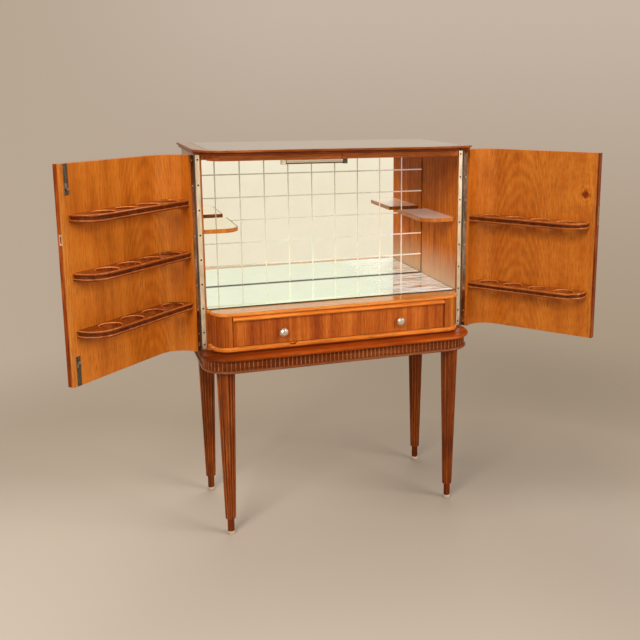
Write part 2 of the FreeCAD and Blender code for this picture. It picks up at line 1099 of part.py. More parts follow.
def lock_escutcheon():
    x = -door_end - key_set_back
    front = -door_reach - escutcheon_thickness
    half = escutcheon_half_width
    straight = escutcheon_half_height - half
    a = Vector(x - half, front, lock_z - straight)
    b = Vector(x, front, lock_z - escutcheon_half_height)
    c = Vector(x + half, front, lock_z - straight)
    d = Vector(x + half, front, lock_z + straight)
    e = Vector(x, front, lock_z + escutcheon_half_height)
    f = Vector(x - half, front, lock_z + straight)
    face = Part.Face(Part.Wire([arc(a, b, c), line(c, d), arc(d, e, f), line(f, a)]))
    plate = face.extrude(Vector(0, escutcheon_thickness, 0))
    slot = block(
        x - keyhole_slot_width / 2,
        x + keyhole_slot_width / 2,
        -door_reach - overrun,
        -door_reach + overrun,
        lock_z - keyhole_slot_drop,
        lock_z,
    )
    return plate.cut([key_bore(-door_reach + overrun), slot])


# Drawer


def drawer_front():
    bottom = bottom_top + drawer_front_gap_bottom
    front = block(
        -drawer_front_half,
        drawer_front_half,
        -drawer_face,
        -drawer_face + drawer_front_thickness,
        bottom,
        deck_underside - drawer_front_gap_top,
    )
    return front.cut(drawer_groove())


def drawer_groove():
    """The slot in the front and sides that holds the drawer's bottom."""
    half = drawer_box_half - drawer_side_thickness + drawer_groove_depth
    low = bottom_top + drawer_bottom_rise
    return block(
        -half,
        half,
        -drawer_face + drawer_front_thickness - drawer_groove_depth,
        drawer_back_y + overrun,
        low,
        low + drawer_bottom_thickness,
    )


def drawer_lip():
    top = deck_underside - drawer_front_gap_top
    bottom = top - lip_height
    face = -drawer_face
    nose = face - lip_reach
    edge_low = bottom + (lip_height - lip_edge_height) / 2
    edge_high = edge_low + lip_edge_height
    half = drawer_front_half
    a = Vector(-half, face, top)
    b = Vector(-half, nose + lip_edge_height / 2, edge_high)
    c = Vector(-half, nose, (edge_low + edge_high) / 2)
    d = Vector(-half, nose + lip_edge_height / 2, edge_low)
    e = Vector(-half, face, bottom)
    edges = [line(a, b), arc(b, c, d), line(d, e), line(e, a)]
    return Part.Face(Part.Wire(edges)).extrude(Vector(2 * half, 0, 0))


def drawer_side():
    low = bottom_top + seat_gap
    side = block(
        -drawer_box_half,
        -drawer_box_half + drawer_side_thickness,
        -drawer_face + drawer_front_thickness,
        drawer_back_y,
        low,
        low + drawer_side_height,
    )
    return side.cut(drawer_groove())


def drawer_back():
    half = drawer_box_half - drawer_side_thickness
    return block(
        -half,
        half,
        drawer_back_y - drawer_side_thickness,
        drawer_back_y,
        bottom_top + drawer_bottom_rise + drawer_bottom_thickness,
        bottom_top + seat_gap + drawer_side_height - drawer_back_drop,
    )


def drawer_bottom():
    half = drawer_box_half - drawer_side_thickness + drawer_groove_depth
    low = bottom_top + drawer_bottom_rise
    return block(
        -half,
        half,
        -drawer_face + drawer_front_thickness - drawer_groove_depth,
        drawer_back_y,
        low,
        low + drawer_bottom_thickness,
    )


def rosette():
    front = Vector(knob_x, -drawer_face - rosette_thickness, knob_z)
    return facing_round(front, rosette_radius, rosette_thickness)


def knob():
    """A cut knob with flat facets, wide in the middle, with a small table in front."""
    start = drawer_face + rosette_thickness
    stations = [
        (knob_neck_radius, 0),
        (knob_neck_radius, knob_neck_length),
        (knob_radius, knob_neck_length + knob_depth * knob_widest_from_share),
        (knob_radius, knob_neck_length + knob_depth * knob_widest_to_share),
        (knob_table_radius, knob_neck_length + knob_depth),
    ]
    rings = []
    for radius, away in stations:
        centre = Vector(knob_x, -start - away, knob_z)
        rings.append(facing_ring(centre, radius, knob_facets))
    return flat_sided(rings)


# Swinging the doors to where they rest, and mirroring for the right one


def on_left_door(shape):
    moved = shape.copy()
    moved.rotate(Vector(-pin_x, 0, 0), Vector(0, 0, 1), -left_open_deg)
    return moved


def on_right_door(shape):
    """Takes a piece set out on the shut left door to the open right door."""
    moved = mirrored(shape)
    moved.rotate(Vector(pin_x, 0, 0), Vector(0, 0, 1), right_open_deg)
    return moved


nodes = {}

for name, (x, y) in leg_places().items():
    nodes[name] = leg(x, y)
nodes["glides"] = Part.makeCompound([glide(x, y) for x, y in leg_places().values()])
nodes["apron_front"] = apron_front()
nodes["apron_side_left"] = apron_side()
nodes["apron_side_right"] = mirrored(apron_side())
nodes["apron_back"] = apron_back()
nodes["apron_bead"] = apron_bead()
nodes["ledge_board"] = ledge_board()
nodes["case_bottom"] = case_bottom()
nodes["case_side_left"] = case_side()
nodes["case_side_right"] = mirrored(case_side())
nodes["back_panel"] = back_panel()
nodes["back_mirror"] = back_mirror()
nodes["deck_board"] = deck_board()
nodes["deck_glass"] = deck_glass()
nodes["corner_post_left"] = corner_post()
nodes["corner_post_right"] = mirrored(corner_post())
nodes["drawer_guides"] = Part.makeCompound([drawer_guide(), mirrored(drawer_guide())])
nodes["header_rail"] = header_rail()
nodes["top_board"] = top_board()
nodes["top_glass"] = top_glass()
nodes["shelf_left"] = shelf()
nodes["shelf_right"] = mirrored(shelf())
nodes["shelf_edge_left"] = shelf_edge()
nodes["shelf_edge_right"] = mirrored(shelf_edge())
nodes["lamp_base"] = lamp_base()
nodes["lamp_tube"] = lamp_tube()
nodes["hinge_case_left"] = hinge_case()
nodes["hinge_case_right"] = mirrored(hinge_case())

nodes["drawer_front"] = drawer_front()
nodes["drawer_lip"] = drawer_lip()
nodes["drawer_side_left"] = drawer_side()
nodes["drawer_side_right"] = mirrored(drawer_side())
nodes["drawer_back"] = drawer_back()
nodes["drawer_bottom"] = drawer_bottom()
nodes["knob_rosettes"] = Part.makeCompound([mirrored(rosette()), rosette()])
nodes["knob_left"] = mirrored(knob())
nodes["knob_right"] = knob()

bolt_cuts = [at_top(bolt_mortise()), at_bottom(bolt_mortise())]
keeper_cut = edge_plate(keeper_height)
keeper_cut = keeper_cut.fuse(
    lock_bolt_room(lock_bolt_clearance, lock_throw + 2 * lock_bolt_clearance)
)
nodes["door_left"] = on_left_door(door_panel().cut(bolt_cuts))
nodes["door_left_lipping"] = on_left_door(door_lipping().cut(keeper_cut))
nodes["hinge_door_left"] = on_left_door(hinge_door())
for i, place in enumerate(["bottom", "middle", "top"]):
    top = rack_top(i, rack_left_rise_share)
    nodes["rack_left_" + place] = on_left_door(
        rack(top, rack_holes_left_from, rack_holes_left_to)
    )
nodes["bolt_plate_top"] = on_left_door(at_top(bolt_plate()))
nodes["bolt_plate_bottom"] = on_left_door(at_bottom(bolt_plate()))
nodes["bolt_top"] = on_left_door(at_top(flush_bolt()))
nodes["bolt_bottom"] = on_left_door(at_bottom(flush_bolt()))
nodes["lock_keeper"] = on_left_door(lock_keeper())

lock_cuts = [lock_box(), key_bore(door_middle)]
nodes["door_right"] = on_right_door(door_panel().cut(lock_cuts))
nodes["door_right_lipping"] = on_right_door(door_lipping().cut(lock_box()))
nodes["hinge_door_right"] = on_right_door(hinge_door())
for i, place in enumerate(["bottom", "top"]):
    top = rack_top(i, rack_right_rise_share)
    nodes["rack_right_" + place] = on_right_door(
        rack(top, rack_holes_right_from, rack_holes_right_to)
    )
nodes["lock_case"] = on_right_door(lock_case())
nodes["lock_bolt"] = on_right_door(lock_bolt())
nodes["lock_escutcheon"] = on_right_door(lock_escutcheon())

# The origin is on the floor, in the middle of the space that the cabinet takes as it rests
whole = Part.makeCompound(list(nodes.values())).optimalBoundingBox(False, False)
shift = Vector(-whole.Center.x, -whole.Center.y, 0)
print("hinge pins at x", -pin_x + shift.x, "and", pin_x + shift.x, "at y", shift.y)

for name, shape in nodes.items():
    shape.translate(shift)
    shape.exportStep("parts/" + name + ".step")
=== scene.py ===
import json
import math

import bmesh
import bpy
from mathutils import Matrix, Vector

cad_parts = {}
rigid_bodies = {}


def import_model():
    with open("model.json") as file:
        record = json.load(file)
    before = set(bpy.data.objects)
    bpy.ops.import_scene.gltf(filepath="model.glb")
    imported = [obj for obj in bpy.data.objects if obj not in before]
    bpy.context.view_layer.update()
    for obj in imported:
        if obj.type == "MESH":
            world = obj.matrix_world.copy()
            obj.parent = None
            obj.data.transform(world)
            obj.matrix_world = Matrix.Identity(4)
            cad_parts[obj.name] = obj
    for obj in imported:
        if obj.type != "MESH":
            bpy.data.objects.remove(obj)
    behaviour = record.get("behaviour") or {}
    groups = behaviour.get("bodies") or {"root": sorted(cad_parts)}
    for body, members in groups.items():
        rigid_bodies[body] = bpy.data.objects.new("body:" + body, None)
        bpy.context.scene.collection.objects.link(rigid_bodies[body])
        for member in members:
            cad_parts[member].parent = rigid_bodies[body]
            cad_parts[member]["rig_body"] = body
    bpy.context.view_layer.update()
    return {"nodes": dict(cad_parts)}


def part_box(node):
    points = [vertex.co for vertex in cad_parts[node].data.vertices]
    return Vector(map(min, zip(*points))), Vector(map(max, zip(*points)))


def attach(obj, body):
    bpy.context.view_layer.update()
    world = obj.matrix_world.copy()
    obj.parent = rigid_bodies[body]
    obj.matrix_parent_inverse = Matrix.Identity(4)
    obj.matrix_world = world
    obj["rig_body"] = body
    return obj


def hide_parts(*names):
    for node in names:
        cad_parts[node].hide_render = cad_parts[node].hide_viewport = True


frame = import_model()


# The four legs are turned from dark mahogany, fluted all round and tapered to a sharp step, where
# a slim plain foot begins. Each is dowelled up through the stand into the ledge.

leg_flutes = 14
leg_ankle_height = 0.056
leg_ankle_radius = 0.0170
leg_head_radius = 0.0305
leg_foot_radius = 0.0113
leg_flute_depth_share = 0.075
leg_ridge_slope = 25.0
flute_steps = 8
merge_reach = 1e-6
upright = Vector((0.0, 0.0, 1.0))


def feed(tree, node, inputs):
    """Gives a node's inputs their values, or links them to the sockets of other nodes."""
    for key, value in inputs.items():
        if isinstance(value, bpy.types.NodeSocket):
            tree.links.new(value, node.inputs[key])
        else:
            node.inputs[key].default_value = value


def new_node(tree, kind, inputs, **settings):
    node = tree.nodes.new("ShaderNode" + kind)
    for name, setting in settings.items():
        setattr(node, name, setting)
    feed(tree, node, inputs)
    return node


def new_material(name):
    """An unfinished material, with its node tree and its main shader."""
    material = bpy.data.materials.new(name)
    material.use_nodes = True
    tree = material.node_tree
    return material, tree, tree.nodes["Principled BSDF"]


def arithmetic(tree, operation, first, second=0.0, third=0.0):
    """A node that does one sum on up to three values."""
    inputs = {0: first, 1: second, 2: third}
    return new_node(tree, "Math", inputs, operation=operation).outputs[0]


def times_plus(tree, value, factor, more):
    return arithmetic(tree, "MULTIPLY_ADD", value, factor, more)


def times(tree, value, factor):
    return arithmetic(tree, "MULTIPLY", value, factor)


def plus(tree, value, more):
    return arithmetic(tree, "ADD", value, more)


def vectors(tree, operation, inputs):
    return new_node(tree, "VectorMath", inputs, operation=operation).outputs


def axes(tree, space):
    """The X, Y and Z of a place in a pattern."""
    return new_node(tree, "SeparateXYZ", {"Vector": space}).outputs


def pattern_space(tree, place=(0.0, 0.0, 0.0), turn=(0.0, 0.0, 0.0), wrap=0.0):
    """Object coordinates with the pattern's Z along the grain and its X across it. Wrap leads
    the pattern round the bow of a door."""
    source = new_node(tree, "TexCoord", {})
    inputs = {
        "Vector": source.outputs["Object"],
        "Location": place,
        "Rotation": [math.radians(angle) for angle in turn],
    }
    space = new_node(tree, "Mapping", inputs, vector_type="TEXTURE").outputs["Vector"]
    if not wrap:
        return space
    spot = axes(tree, space)
    around = times_plus(tree, spot["Y"], wrap, spot["X"])
    return new_node(tree, "CombineXYZ", {"X": around, "Z": spot["Z"]}).outputs["Vector"]


def stretched_noise(tree, space, across, along, detail, distortion=0.0):
    """Noise with so many waves per metre across the grain and along it, from 0 to 1."""
    stretch = new_node(tree, "Mapping", {"Vector": space, "Scale": (across, across, along)})
    inputs = {
        "Vector": stretch.outputs["Vector"],
        "Scale": 1.0,
        "Detail": detail,
        "Roughness": 0.55,
        "Distortion": distortion,
    }
    return new_node(tree, "TexNoise", inputs).outputs["Fac"]


def ramp(tree, factor, stops):
    """The colour that a factor has between stops."""
    node = new_node(tree, "ValToRGB", {"Fac": factor})
    elements = node.color_ramp.elements
    while len(elements) < len(stops):
        elements.new(0.5)
    for element, (position, colour) in zip(elements, stops):
        element.position = position
        element.color = (*colour, 1.0)
    return node.outputs["Color"]


def mapped(tree, value, start, end, low=0.0, high=1.0, curve="LINEAR"):
    """A value carried from one range to another, and held at the ends."""
    inputs = {"Value": value, "From Min": start, "From Max": end, "To Min": low, "To Max": high}
    return new_node(tree, "MapRange", inputs, interpolation_type=curve).outputs["Result"]


def blended(tree, factor, first, second, way="MIX"):
    inputs = {"Factor": factor, 6: first, 7: second}
    return new_node(tree, "Mix", inputs, data_type="RGBA", blend_type=way).outputs[2]


def grey(value):
    return (value, value, value)


def tinted(tree, colour, factor, stops):
    """A colour multiplied by a ramp of a factor."""
    return blended(tree, 1.0, colour, ramp(tree, factor, stops), "MULTIPLY")


crown_reach = 0.15
crown_bend_waves = (10.0, 6.0, 3.0)


def crown_figure(tree, space, middle, arch, rise, bend_strength, depth):
    """The nested arches of crown-cut veneer: level lines of a parabola that noise bends. They
    fade into straight grain on both sides."""
    spot = axes(tree, space)
    bend = stretched_noise(tree, space, *crown_bend_waves)
    off = arithmetic(tree, "SUBTRACT", spot["X"], middle)
    square = times(tree, off, off)
    curve = times(tree, square, arch)
    climb = times_plus(tree, spot["Z"], rise, curve)
    bent = times_plus(tree, bend, bend_strength, climb)
    wave = arithmetic(tree, "SINE", times(tree, bent, math.tau))
    near = times_plus(tree, square, -1 / crown_reach**2, 1.0)
    figure = times(tree, wave, arithmetic(tree, "MAXIMUM", near, 0.0))
    return times(tree, figure, depth / 2)


knot_push = 0.8
knot_wobble_waves = (70.0, 45.0, 3.0)
knot_rings_per_size = 7.0
knot_ring_wobble = 9.0
knot_ring_depth = 0.11
knot_core_start = 0.45
knot_core_wobble = 0.9
knot_core_depth = 0.30
knot_stains = [(0.62, grey(1.0)), (0.78, (0.70, 0.46, 0.30)), (0.92, (0.26, 0.12, 0.07))]


def flow_round_knot(tree, space, spot, size):
    """Grain pushed aside by a knot: the bent space, the knot's dark core, and its rings."""
    offset = vectors(tree, "SUBTRACT", {0: space, 1: spot})["Vector"]
    length = vectors(tree, "LENGTH", {0: offset})["Value"]
    reach = times(tree, length, 1 / size)
    square = times_plus(tree, reach, reach, 1.0)
    near = arithmetic(tree, "DIVIDE", 1.0, square)
    keep = times_plus(tree, near, -knot_push, 1.0)
    shrunk = vectors(tree, "SCALE", {0: offset, "Scale": keep})["Vector"]
    moved = vectors(tree, "ADD", {0: shrunk, 1: spot})["Vector"]
    wobble = stretched_noise(tree, space, *knot_wobble_waves)
    count = times(tree, reach, knot_rings_per_size)
    ripple = times_plus(tree, wobble, knot_ring_wobble, count)
    rings = times(tree, arithmetic(tree, "SINE", ripple), near)
    core = plus(tree, near, -knot_core_start)
    core = times_plus(tree, wobble, knot_core_wobble, core)
    return moved, core, rings


wood_first_tone = 0.28
wood_tone_span = 0.44
wood_stripe_detail = (3.0, 0.35)
wood_streak_waves = (300.0, 11.0, 4.0)
wood_patch_waves = (9.0, 6.0, 3.0, 0.6)
wood_patch_depth = 0.35
wood_pore_waves = (620.0, 30.0, 2.0)
wood_pore_stops = [(0.32, grey(0.55)), (0.46, grey(1.0))]
wood_dull_share = 0.16
wood_bump_strength = 0.16
wood_bump_depth = 0.0004
# All the wood's highlights are tinted warm: a painted reflection of warm surroundings.
warm_highlight_tint = (1.0, 0.66, 0.38, 1.0)
lacquer_roughness = 0.08


def polished_wood(
    name,
    tones,
    place=(0.0, 0.0, 0.0),
    turn=(0.0, 0.0, 0.0),
    wrap=0.0,
    ribbon=(28.0, 1.4, 0.55),
    streak=0.45,
    crown=None,
    knot=None,
    painted_fade=None,
    roughness=0.30,
    gloss=0.30,
    lacquer=0.12,
):
    """Lacquered wood. Tones run from dark to light; ribbon is waves across, along, strength."""
    material, tree, shader = new_material(name)
    space = pattern_space(tree, place, turn, wrap)
    if knot:
        space, knot_core, knot_rings = flow_round_knot(tree, space, *knot)
    across, along, strength = ribbon
    stripes = stretched_noise(tree, space, across, along, *wood_stripe_detail)
    streaks = stretched_noise(tree, space, *wood_streak_waves)
    patches = stretched_noise(tree, space, *wood_patch_waves)
    pores = stretched_noise(tree, space, *wood_pore_waves)
    tone = times_plus(tree, stripes, strength, 0.5 - strength / 2)
    for noise, depth in ((streaks, streak), (patches, wood_patch_depth)):
        shift = times_plus(tree, noise, depth, -depth / 2)
        tone = plus(tree, tone, shift)
    if crown:
        tone = plus(tree, tone, crown_figure(tree, space, *crown))
    if knot:
        tone = times_plus(tree, knot_rings, knot_ring_depth, tone)
        tone = times_plus(tree, knot_core, knot_core_depth, tone)
    step = wood_tone_span / (len(tones) - 1)
    colour = ramp(tree, tone, [(wood_first_tone + step * i, c) for i, c in enumerate(tones)])
    colour = tinted(tree, colour, pores, wood_pore_stops)
    if knot:
        colour = tinted(tree, colour, knot_core, knot_stains)
    # Painted light and shade: a fade towards another tone along the grain, from a start to an end
    # and up to an amount.
    if painted_fade:
        start, end, amount, pale = painted_fade
        reach = mapped(tree, axes(tree, space)["Z"], start, end, 0.0, amount)
        colour = blended(tree, reach, colour, (*pale, 1.0))
    relief = {
        "Height": plus(tree, streaks, pores),
        "Strength": wood_bump_strength,
        "Distance": wood_bump_depth,
    }
    bump = new_node(tree, "Bump", relief)
    least_dull = roughness - wood_dull_share / 2
    finish = {
        "Base Color": colour,
        "Roughness": times_plus(tree, streaks, wood_dull_share, least_dull),
        "Normal": bump.outputs["Normal"],
        "Specular IOR Level": gloss,
        "Specular Tint": warm_highlight_tint,
        "Coat Weight": lacquer,
        "Coat Roughness": lacquer_roughness,
    }
    feed(tree, shader, finish)
    return material


def fitted(name, bm, materials, *nodes, sharp_degrees=32.0):
    """Makes the piece from its mesh, on the body of the nodes it stands for, and hides those
    nodes.
    """
    mesh = bpy.data.meshes.new(name)
    bm.to_mesh(mesh)
    bm.free()
    for material in materials:
        mesh.materials.append(material)
    mesh.shade_smooth()
    mesh.set_sharp_from_angle(angle=math.radians(sharp_degrees))
    piece = bpy.data.objects.new(name, mesh)
    bpy.context.scene.collection.objects.link(piece)
    level = piece.modifiers.new("level_faces", "WEIGHTED_NORMAL")
    level.keep_sharp = True
    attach(piece, frame["nodes"][nodes[0]]["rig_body"])
    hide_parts(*nodes)
    return piece


def hollow(bm, start, away, half_chord, scoop):
    """The first flute: one corner is spun to the next about a centre in front of them."""
    corner = bmesh.ops.create_vert(bm, co=start)["vert"]
    sweep = 2 * math.asin(half_chord / scoop)
    bmesh.ops.spin(bm, geom=corner, cent=away, axis=upright, angle=-sweep, steps=flute_steps)
    return bm.verts[:] + bm.edges[:]


def repeated(bm, geom, centre, angle, copies, step=(0.0, 0.0, 0.0)):
    """Copies of a shape, spread over an angle, or moved on by a step each."""
    spread = {"axis": upright, "angle": angle, "steps": copies, "dvec": step}
    bmesh.ops.spin(bm, geom=geom, cent=centre, use_duplicate=True, **spread)


def fluted_ring(bm, centre, radius, count, depth_share):
    """A closed ring of hollow flutes: one is spun about its own centre, then round."""
    half = math.pi / count
    start = centre + Vector((math.cos(-half), math.sin(-half), 0.0)) * radius
    chord = radius * math.sin(half)
    sag = radius * depth_share
    scoop = (chord * chord + sag * sag) / (2 * sag)
    away = centre + Vector((radius * math.cos(half) - sag + scoop, 0.0, 0.0))
    flute = hollow(bm, start, away, chord, scoop)
    repeated(bm, flute, centre, math.tau * (count - 1) / count, count - 1)
    bmesh.ops.remove_doubles(bm, verts=bm.verts, dist=merge_reach)
    return bm.edges[:]


def corners(geom):
    return [g for g in geom if isinstance(g, bmesh.types.BMVert)]


def drawn_out(bm, edges, lift, factor, centre):
    """Extrudes a ring upwards and scales the new ring about the centre line."""
    made = bmesh.ops.extrude_edge_only(bm, edges=edges)["geom"]
    verts = corners(made)
    bmesh.ops.translate(bm, verts=verts, vec=(0.0, 0.0, lift))
    about = Matrix.Translation(-centre)
    bmesh.ops.scale(bm, verts=verts, vec=(factor, factor, 1.0), space=about)
    return [g for g in made if isinstance(g, bmesh.types.BMEdge)]


def ridge_wear_and_highlight(bm, outward, slope):
    """Gives the second material, paler for wear and a painted highlight, to the faces that lean
    most beside each ridge.
    """
    limit = math.cos(math.radians(slope))
    for face in bm.faces:
        if face.normal.dot(outward(face.calc_center_median())) < limit:
            face.material_index = 1


def round_bar(bm, radius, length, matrix, sides=40, taper=1.0):
    """A closed bar along the matrix's Z."""
    bmesh.ops.create_cone(
        bm,
        cap_ends=True,
        segments=sides,
        radius1=radius,
        radius2=radius * taper,
        depth=length,
        matrix=matrix,
    )


leg_wood = polished_wood(
    "leg_wood",
    [(0.070, 0.010, 0.002), (0.160, 0.026, 0.003), (0.300, 0.066, 0.009)],
    ribbon=(60.0, 2.0, 0.9),
    roughness=0.22,
    gloss=0.2,
    lacquer=0.05,
)
# The back legs take a darker copy of the leg wood: painted shade, as the light falls from the
# front.
shaded_back_leg_wood = polished_wood(
    "shaded_back_leg_wood",
    [(0.050, 0.007, 0.001), (0.115, 0.018, 0.002), (0.220, 0.046, 0.006)],
    ribbon=(60.0, 2.0, 0.9),
    roughness=0.22,
    gloss=0.15,
    lacquer=0.03,
)
# The ridge woods are paler: wear and a painted highlight.
ridge_polish = {"ribbon": (50.0, 3.0, 0.9), "roughness": 0.22, "gloss": 0.2, "lacquer": 0.05}
leg_ridge_wood = polished_wood(
    "leg_ridge_wood",
    [(0.160, 0.027, 0.004), (0.300, 0.062, 0.008), (0.520, 0.150, 0.026)],
    **ridge_polish,
)
# The right legs' ridges take a darker copy: painted shade, as the light falls from the left.
shaded_ridge_wood = polished_wood(
    "shaded_ridge_wood",
    [(0.100, 0.015, 0.002), (0.190, 0.034, 0.004), (0.340, 0.082, 0.012)],
    **ridge_polish,
)

leg_woods = {
    "leg_front_left": [leg_wood, leg_ridge_wood],
    "leg_front_right": [leg_wood, shaded_ridge_wood],
    "leg_back_left": [shaded_back_leg_wood, leg_ridge_wood],
    "leg_back_right": [shaded_back_leg_wood, shaded_ridge_wood],
}
for name, woods in leg_woods.items():
    low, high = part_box(name)
    centre = Vector(((low.x + high.x) / 2, (low.y + high.y) / 2, 0.0))
    bm = bmesh.new()
    ring = fluted_ring(bm, centre, leg_ankle_radius, leg_flutes, leg_flute_depth_share)
    bmesh.ops.translate(bm, verts=bm.verts, vec=(0.0, 0.0, leg_ankle_height))
    bmesh.ops.contextual_create(bm, geom=ring)
    taper = leg_head_radius / leg_ankle_radius
    head = drawn_out(bm, ring, high.z - leg_ankle_height, taper, centre)
    bmesh.ops.recalc_face_normals(bm, faces=bm.faces)
    ridge_wear_and_highlight(bm, lambda spot: (spot - centre).to_2d().to_3d().normalized(), leg_ridge_slope)
    bmesh.ops.contextual_create(bm, geom=head)
    foot_height = leg_ankle_height - low.z
    foot_middle = Matrix.Translation(centre + Vector((0.0, 0.0, low.z + foot_height / 2)))
    round_bar(bm, leg_foot_radius, foot_height, foot_middle)
    bmesh.ops.recalc_face_normals(bm, faces=bm.faces)
    fitted(name + "_turned", bm, woods, name)


# Under each foot is a cream plastic glide, moulded as a shallow cup with a rounded rim that hides
# the end of the leg, and nailed up into it.

glide_radius = 0.0132
glide_rim = 0.0028
glide_rim_angle = 1.0
glide_cup = 0.0025


def patchy_finish(name, waves, stops, dull_share, least_dull, **shine):
    """A finish that varies in patches: waves across and along, and their detail; the colours at
    two stops; how far the patches change a least roughness; and other values of its shader."""
    material, tree, shader = new_material(name)
    patches = stretched_noise(tree, pattern_space(tree), *waves)
    roughness = times_plus(tree, patches, dull_share, least_dull)
    colour = ramp(tree, patches, stops)
    feed(tree, shader, {"Base Color": colour, "Roughness": roughness, **shine})
    return material


def plain_plastic(name, colour, roughness, mottle=0.06, **shine):
    """Moulded plastic or enamel with faint mottling."""
    darker = [c * (1 - 4 * mottle) for c in colour]
    lighter = [min(1.0, c * (1 + mottle)) for c in colour]
    stops = [(0.25, darker), (0.75, lighter)]
    return patchy_finish(name, (220.0, 220.0, 3.0), stops, 0.2, roughness - 0.1, **shine)


def rounded(bm, edges, width, steps, material=-1, clamp=False):
    """Rounds edges over, in the material of the faces beside them or in one that is given."""
    bmesh.ops.bevel(
        bm,
        geom=edges,
        offset=width,
        offset_type="OFFSET",
        segments=steps,
        profile=0.5,
        affect="EDGES",
        material=material,
        clamp_overlap=clamp,
    )


glide_plastic = plain_plastic("glide_plastic", (0.56, 0.44, 0.31), 0.45)

low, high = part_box("glides")
glide_height = high.z - low.z + glide_cup
bm = bmesh.new()
for name in leg_woods:
    leg_low, leg_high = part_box(name)
    middle = (leg_low + leg_high) / 2
    middle.z = (low.z + high.z + glide_cup) / 2
    round_bar(bm, glide_radius, glide_height, Matrix.Translation(middle))
rims = [e for e in bm.edges if e.calc_face_angle(0.0) > glide_rim_angle]
rounded(bm, rims, glide_rim, 4)
fitted("glides_moulded", bm, [glide_plastic], "glides")


# The apron stands under the ledge. Its front is one fluted moulding of red-brown mahogany that
# turns both corners; the side and back rails are plain. All are glued up to the ledge.

apron_flute_pitch = 0.0139
apron_flute_depth = 0.0026
apron_radius = 0.088
apron_wall = 0.010
apron_ridge_slope = 29.0
apron_merge_reach = 2e-5
cad_merge_reach = 3e-6
flat_degrees = 0.6
sharp_from_degrees = 28.0
level_grain = (0.0, 90.0, 0.0)


def copied_mesh(node):
    """A copy of a node's mesh, merged, with each flat face in one piece."""
    bm = bmesh.new()
    bm.from_mesh(frame["nodes"][node].data)
    bmesh.ops.remove_doubles(bm, verts=bm.verts, dist=cad_merge_reach)
    flat = math.radians(flat_degrees)
    bmesh.ops.dissolve_limit(bm, angle_limit=flat, verts=bm.verts, edges=bm.edges)
    return bm


def sharp_edges(bm):
    limit = math.radians(sharp_from_degrees)
    return [e for e in bm.edges if len(e.link_faces) == 2 and e.calc_face_angle(0.0) > limit]


def eased(node, materials, width=0.0008, steps=2, sharp_degrees=50.0, wear_and_highlight=-1):
    """A copy of a node with its sharp edges rounded over, which stands for the node."""
    bm = copied_mesh(node)
    rounded(bm, sharp_edges(bm), width, steps, wear_and_highlight, clamp=True)
    return fitted(node + "_finished", bm, materials, node, sharp_degrees=sharp_degrees)


apron_polish = {"turn": level_grain, "gloss": 0.15, "lacquer": 0.05}
apron_wood = polished_wood(
    "apron_wood",
    [(0.085, 0.013, 0.003), (0.150, 0.028, 0.005), (0.240, 0.058, 0.014)],
    ribbon=(70.0, 3.0, 0.7),
    **apron_polish,
)
# The apron's ridge wood is paler: wear and a painted highlight.
apron_ridge_wood = polished_wood(
    "apron_ridge_wood",
    [(0.230, 0.052, 0.011), (0.380, 0.110, 0.030), (0.620, 0.220, 0.076)],
    ribbon=(90.0, 6.0, 0.9),
    **apron_polish,
)

low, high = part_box("apron_front")
left = Vector((low.x + apron_radius, low.y + apron_radius, low.z))
right = Vector((high.x - apron_radius, low.y + apron_radius, low.z))
front_flutes = round((right.x - left.x) / apron_flute_pitch)
corner_flutes = round(apron_radius * math.pi / 2 / apron_flute_pitch)
pitch = (right.x - left.x) / front_flutes
scoop = (pitch * pitch / 4 + apron_flute_depth**2) / (2 * apron_flute_depth)
start = Vector((left.x, low.y, low.z))
away = start + Vector((pitch / 2, apron_flute_depth - scoop, 0.0))
bm = bmesh.new()
flute = hollow(bm, start, away, pitch / 2, scoop)
repeated(bm, flute, start, 0.0, front_flutes - 1, (pitch, 0.0, 0.0))
turn = math.pi / 2 / corner_flutes
for side, centre, edge in ((1, right, right.x), (-1, left, left.x)):
    last = [v for v in bm.verts if -merge_reach < side * (edge - v.co.x) < pitch * 1.01]
    loop = [e for e in bm.edges if all(v in last for v in e.verts)]
    copy = bmesh.ops.duplicate(bm, geom=last + loop)["geom"]
    verts = corners(copy)
    bmesh.ops.translate(bm, verts=verts, vec=(side * pitch, 0.0, 0.0))
    lean = Matrix.Rotation(side * turn / 2, 3, "Z")
    pivot = Vector((edge, low.y, low.z))
    bmesh.ops.rotate(bm, cent=pivot, matrix=lean, verts=verts)
    squeeze = 2 * apron_radius * math.sin(turn / 2) / pitch
    about = Matrix.Translation(-pivot)
    bmesh.ops.scale(bm, verts=verts, vec=(squeeze, squeeze, 1.0), space=about)
    repeated(bm, copy, centre, side * turn * (corner_flutes - 1), corner_flutes - 1)
bmesh.ops.remove_doubles(bm, verts=bm.verts, dist=apron_merge_reach)
made = bmesh.ops.extrude_edge_only(bm, edges=bm.edges[:])["geom"]
bmesh.ops.translate(bm, verts=corners(made), vec=(0.0, 0.0, high.z - low.z))
bmesh.ops.recalc_face_normals(bm, faces=bm.faces)
if sum(f.normal.y * f.calc_area() for f in bm.faces) > 0:
    bmesh.ops.reverse_faces(bm, faces=bm.faces)


def away_from_apron(spot):
    middle = min(max(spot.x, left.x), right.x)
    return Vector((spot.x - middle, min(spot.y - left.y, 0.0), 0.0)).normalized()


ridge_wear_and_highlight(bm, away_from_apron, apron_ridge_slope)
bmesh.ops.solidify(bm, geom=bm.faces[:], thickness=apron_wall)
materials = [apron_wood, apron_ridge_wood]
fitted("apron_front_fluted", bm, materials, "apron_front", sharp_degrees=35.0)

for name in ("apron_side_left", "apron_side_right", "apron_back"):
    eased(name, [apron_wood])


# A slim rounded bead of mahogany, worn paler than the flutes, is planted along the apron's
# lower edge.

level_figure = {"turn": level_grain, "ribbon": (50.0, 3.0, 0.6)}
foot_bead_wood = polished_wood(
    "foot_bead_wood",
    [(0.140, 0.032, 0.009), (0.240, 0.066, 0.020), (0.360, 0.120, 0.046)],
    roughness=0.26,
    **level_figure,
)

eased("apron_bead", [foot_bead_wood], 0.0016, 3)
